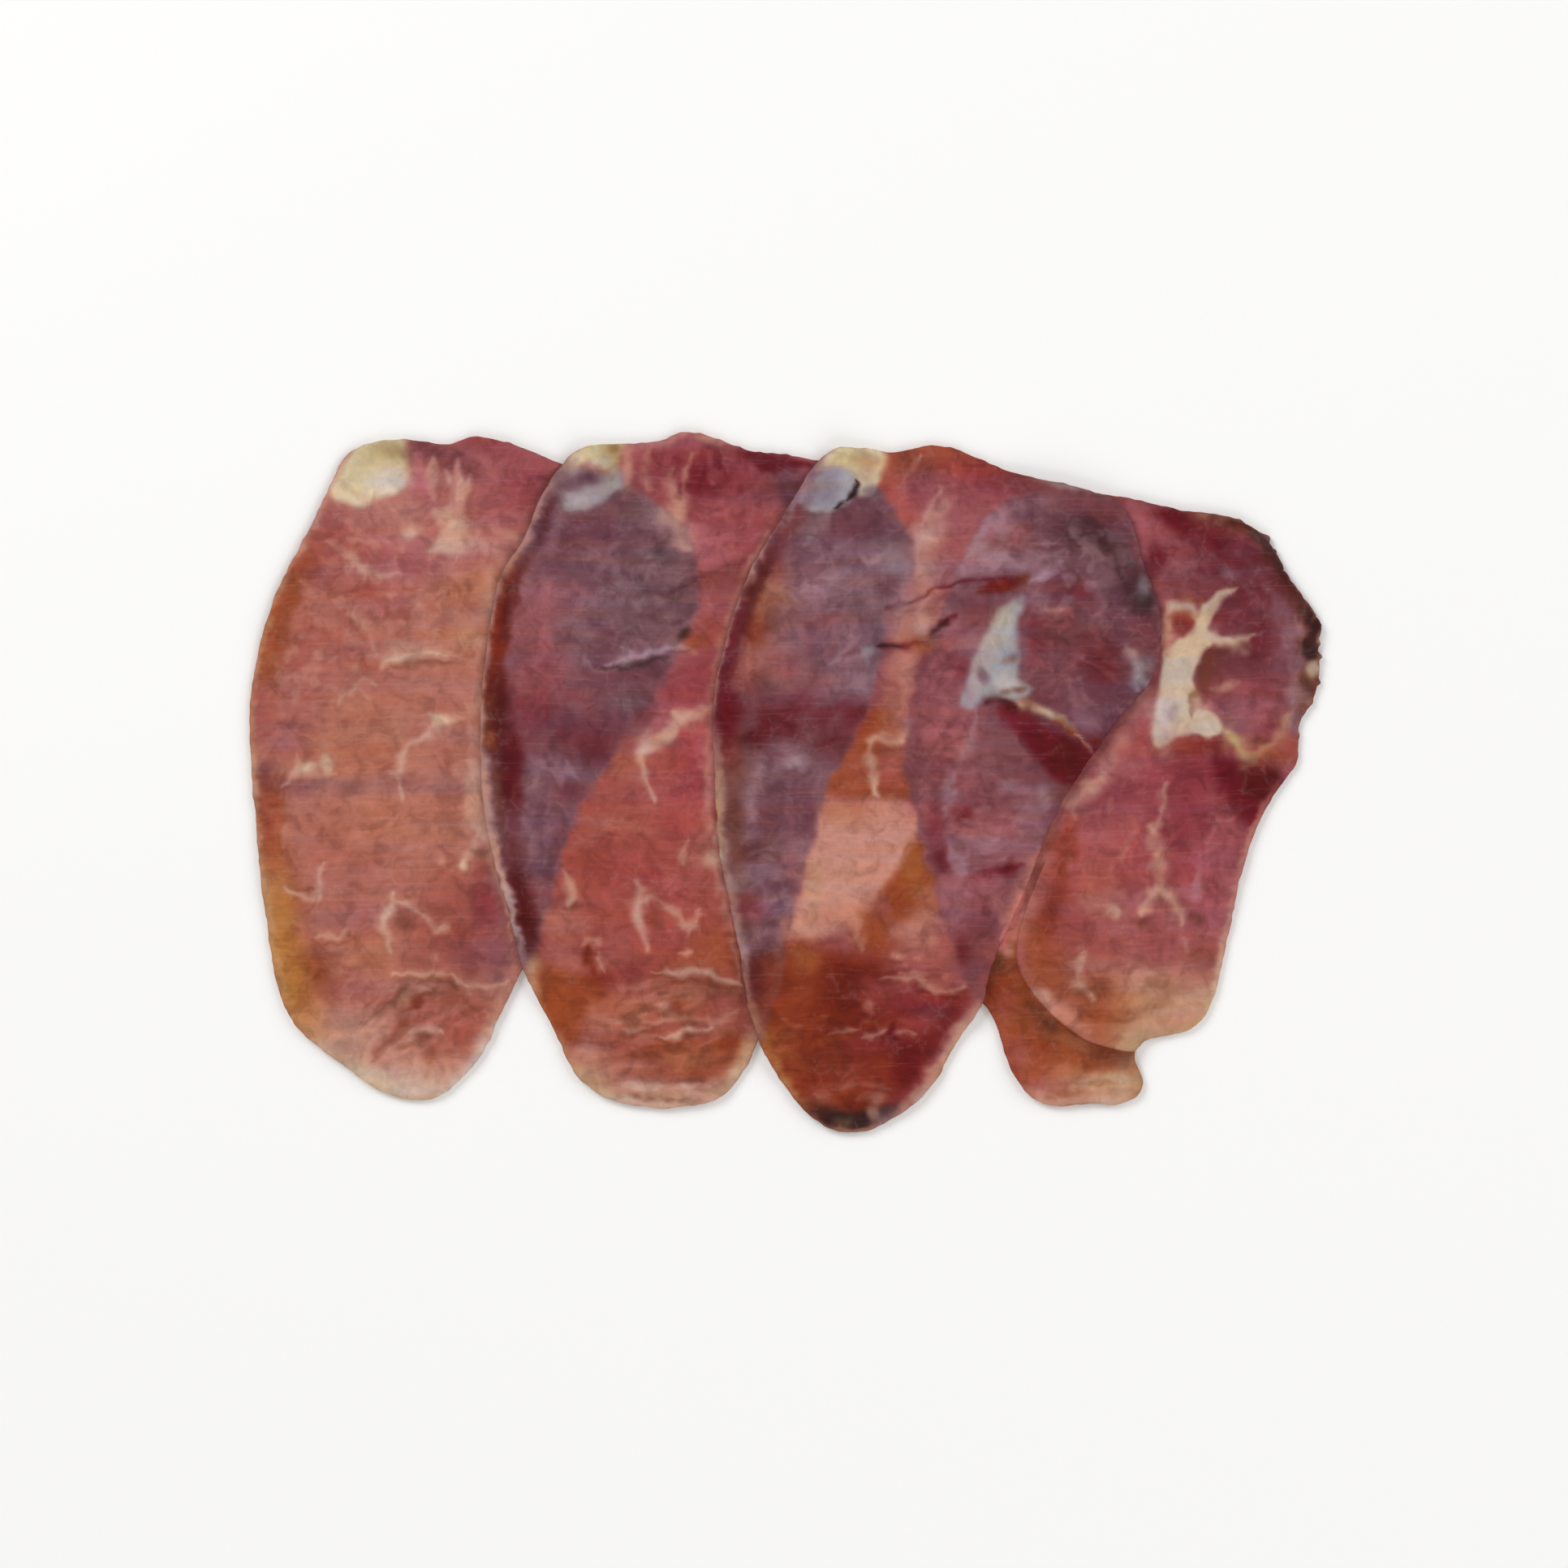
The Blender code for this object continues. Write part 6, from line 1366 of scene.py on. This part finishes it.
def finish_for(slot, sizes, tints, run):
    """One slice's moist flesh: painted colour, mottling, fibres along that run in degrees, and fine grain."""
    material = bpy.data.materials.new(slot)
    material.use_nodes = True
    tree = material.node_tree
    tree.nodes.clear()
    maker = Wire(tree)
    place = maker.node("ShaderNodeTexCoord", output="Object")
    turned = maker.node("ShaderNodeMapping", {"vector_type": "TEXTURE"}, {
        "Vector": place, "Rotation": (0.0, 0.0, math.radians(run)), "Scale": FIBRE_STRETCH,
    })
    flesh = maker.node("ShaderNodeAttribute", {"attribute_name": "flesh"})
    fatty = maker.node("ShaderNodeAttribute", {"attribute_name": "fatty"}, output="Fac")
    edge = maker.node("ShaderNodeAttribute", {"attribute_name": "edge"}, output="Fac")
    lean = 1.0 - fatty

    bundles = maker.noise(place, sizes.lump, warp=0.8)
    mottle = maker.noise(place, sizes.lump / 3, warp=0.4)
    grain = maker.noise(place, sizes.grain, 2.0)
    fibres = maker.noise(turned, sizes.fibre / FIBRE_STRETCH[0], 4.0, 0.65, 0.3)
    hue = maker.noise(turned, sizes.lump * 0.9, 2.0, 0.5, 0.8)
    patch = maker.noise(place, sizes.lump * 2, 2.0)
    # Faint pale lines between the muscle's bundles, here and there
    sway = maker.node(
        "ShaderNodeTexNoise", {}, {"Vector": place, "Scale": 0.6 / sizes.lump, "Detail": 3.0}, output=1)
    stray = maker.node("ShaderNodeVectorMath", {"operation": "MULTIPLY_ADD"}, {
        0: sway, 1: (sizes.lump, sizes.lump, sizes.lump), 2: place,
    })
    cells = maker.node("ShaderNodeTexVoronoi", {"feature": "DISTANCE_TO_EDGE"}, {
        "Vector": stray, "Scale": 1.0 / sizes.lump,
    })
    web = cells.between(0.13, 0.0) * patch.between(0.46, 0.6) * mottle.between(0.38, 0.6)

    shade = 1.0 + (bundles - 0.5) * SHADE["bundles"] + (mottle - 0.5) * SHADE["mottle"]
    shade = shade + (fibres - 0.5) * lean * SHADE["fibres"] + (grain - 0.5) * SHADE["grain"]
    warmth = maker.mixed(hue.between(0.35, 0.65), WARMER, COOLER)
    colour = maker.mixed(1.0, maker.mixed(1.0, flesh, shade, "MULTIPLY"), warmth, "MULTIPLY")
    pale = maker.mixed(0.35, flesh, (*linear(np.array(tints.ivory)), 1.0))
    colour = maker.mixed(web * lean * 0.12, colour, pale)
    colour = maker.mixed(fibres.between(0.56, 0.7) * lean * 0.1, colour, pale)
    deep = bundles.between(0.52, 0.36) * lean * 0.3
    colour = maker.mixed(deep, colour, maker.mixed(1.0, colour, DEEPER, "MULTIPLY"))

    height = bundles * RELIEF["bundles"] + mottle * RELIEF["mottle"] + fibres * lean * RELIEF["fibres"]
    height = height + grain * RELIEF["grain"] + web * RELIEF["web"]
    normal = maker.node("ShaderNodeBump", {}, {
        "Strength": RELIEF_STRENGTH, "Distance": RELIEF_HEIGHT, "Height": height,
    })
    roughness = 0.42 + mottle * 0.16 + fatty * 0.06 - edge * 0.04
    coat = bundles.between(0.35, 0.7) * 0.1

    surface = maker.node("ShaderNodeBsdfPrincipled", {}, {
        "Base Color": colour, "Roughness": roughness, "Normal": normal, "Coat Weight": coat,
        "Coat Roughness": 0.25, "Specular IOR Level": 0.25, "IOR": 1.4,
        "Subsurface Weight": 0.12, "Subsurface Radius": (1.0, 0.35, 0.2), "Subsurface Scale": 0.8 * MM,
    })
    maker.node("ShaderNodeOutputMaterial", {}, {"Surface": surface})
    return material


# ---------------------------------------------------------------- operators


class PROSCIUTTO_OT_slice(bpy.types.Operator):
    """Dresses one slice: refines a copy of its solid, paints it and gives it relief and a finish"""

    bl_idname = "prosciutto.slice"
    bl_label = "Dress a Slice"

    node: bpy.props.StringProperty(
        name="Solid", description="The solid that the slice stands for", default="slice_1")

    def execute(self, context):
        tints, sizes = context.scene.prosciutto_tints, context.scene.prosciutto_sizes
        stage = context.scene.prosciutto_stage
        slot = SLICES[self.node][0]
        loops = {name: rim_loop(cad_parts[name]) for name in SLICES}
        piece = copy_of(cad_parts[self.node], "laid_" + self.node)
        refine(piece)
        sheet = Sheet(piece, self.node, loops, tints, sizes)
        for strokes, place in LAYERS[self.node]:
            sheet.lay(strokes, place)
        for crease in CREASES[self.node]:
            sheet.crease(*crease)
        relieve(sheet, [name for name in SLICES if self.node in SLICES[name][1]], sizes)
        keep_paint(sheet, stage.light, stage.haze)
        piece.data.materials.append(finish_for(slot, sizes, tints, FIBRE_RUN[self.node]))
        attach(piece, "root")
        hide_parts(self.node)
        return {"FINISHED"}


# The floor's width and how far it lies under the slices, in metres
FLOOR_WIDTH, FLOOR_DROP = 6.0, 0.2 * MM
# The sky's colour and strength
SKY_COLOUR, SKY_STRENGTH = (1.0, 0.99, 0.98, 1.0), 0.33
# Soft lamps that face the middle: name, place and width in metres, and power in watts
LAMPS = (
    ("key", (-0.75, 0.75, 0.85), 0.7, 9.3),
    ("fill", (0.95, 0.35, 0.75), 0.9, 5.4),
    ("low", (0.1, -1.0, 0.7), 0.9, 5.0),
)
# The camera: its film's width in millimetres, how near and far it sees, and the face that it is high above
FILM_WIDTH = 36.0
NEAREST, FARTHEST = 0.01, 20.0
SLICE_THICKNESS = 1.2 * MM
# Where the camera's axis meets the table, in millimetres
MIDDLE_OF_VIEW = (-0.405, -0.327)


class PROSCIUTTO_OT_stage(bpy.types.Operator):
    """Sets a pale floor, soft lights and a camera that looks straight down"""

    bl_idname = "prosciutto.stage"
    bl_label = "Set the Stage"

    def execute(self, context):
        stage = context.scene.prosciutto_stage
        bpy.ops.object.select_all(action="DESELECT")
        bpy.ops.mesh.primitive_plane_add(size=FLOOR_WIDTH, location=(0.0, 0.0, -FLOOR_DROP))
        floor = context.active_object
        floor.name = "floor"
        material = bpy.data.materials.new("floor")
        material.use_nodes = True
        shader = material.node_tree.nodes["Principled BSDF"]
        shader.inputs["Base Color"].default_value = (*linear(np.array(stage.floor)), 1.0)
        shader.inputs["Roughness"].default_value = 0.9
        shader.inputs["Specular IOR Level"].default_value = 0.1
        floor.data.materials.append(material)

        world = context.scene.world or bpy.data.worlds.new("studio")
        context.scene.world = world
        world.use_nodes = True
        background = world.node_tree.nodes["Background"]
        background.inputs["Color"].default_value = SKY_COLOUR
        background.inputs["Strength"].default_value = SKY_STRENGTH

        for name, place, size, power in LAMPS:
            lamp = bpy.data.lights.new(name, "AREA")
            lamp.size = size
            lamp.energy = power
            light = bpy.data.objects.new(name, lamp)
            light.location = place
            light.rotation_euler = Vector(place).to_track_quat("Z", "Y").to_euler()
            context.scene.collection.objects.link(light)

        lens = bpy.data.cameras.new("camera")
        lens.sensor_width = FILM_WIDTH
        lens.lens = FILM_WIDTH * stage.distance / stage.view_width
        lens.clip_start, lens.clip_end = NEAREST, FARTHEST
        camera = bpy.data.objects.new("camera", lens)
        x, y = MIDDLE_OF_VIEW
        camera.location = (x * MM, y * MM, stage.distance + SLICE_THICKNESS)
        context.scene.collection.objects.link(camera)
        context.scene.camera = camera
        context.scene.view_settings.view_transform = "Standard"
        return {"FINISHED"}


class PROSCIUTTO_PT_panel(bpy.types.Panel):
    """Lists the slices, the stage and all their values"""

    bl_label = "Prosciutto"
    bl_idname = "PROSCIUTTO_PT_panel"
    bl_space_type = "VIEW_3D"
    bl_region_type = "UI"
    bl_category = "Prosciutto"

    def draw(self, context):
        layout = self.layout
        for name in SLICES:
            layout.operator("prosciutto.slice", text="Dress " + name.replace("_", " ")).node = name
        layout.operator("prosciutto.stage")
        scene = context.scene
        for group in (scene.prosciutto_sizes, scene.prosciutto_tints, scene.prosciutto_stage):
            box = layout.box()
            for key in type(group).__annotations__:
                box.prop(group, key)


CLASSES = (
    ProsciuttoTints, ProsciuttoSizes, ProsciuttoStage,
    PROSCIUTTO_OT_slice, PROSCIUTTO_OT_stage, PROSCIUTTO_PT_panel,
)


def register():
    for cls in CLASSES:
        bpy.utils.register_class(cls)
    bpy.types.Scene.prosciutto_tints = bpy.props.PointerProperty(type=ProsciuttoTints)
    bpy.types.Scene.prosciutto_sizes = bpy.props.PointerProperty(type=ProsciuttoSizes)
    bpy.types.Scene.prosciutto_stage = bpy.props.PointerProperty(type=ProsciuttoStage)


def unregister():
    del bpy.types.Scene.prosciutto_tints
    del bpy.types.Scene.prosciutto_sizes
    del bpy.types.Scene.prosciutto_stage
    for cls in reversed(CLASSES):
        bpy.utils.unregister_class(cls)


def main():
    register()
    bpy.ops.prosciutto.stage()
    for name in SLICES:
        bpy.ops.prosciutto.slice(node=name)


if __name__ == "__main__":
    main()
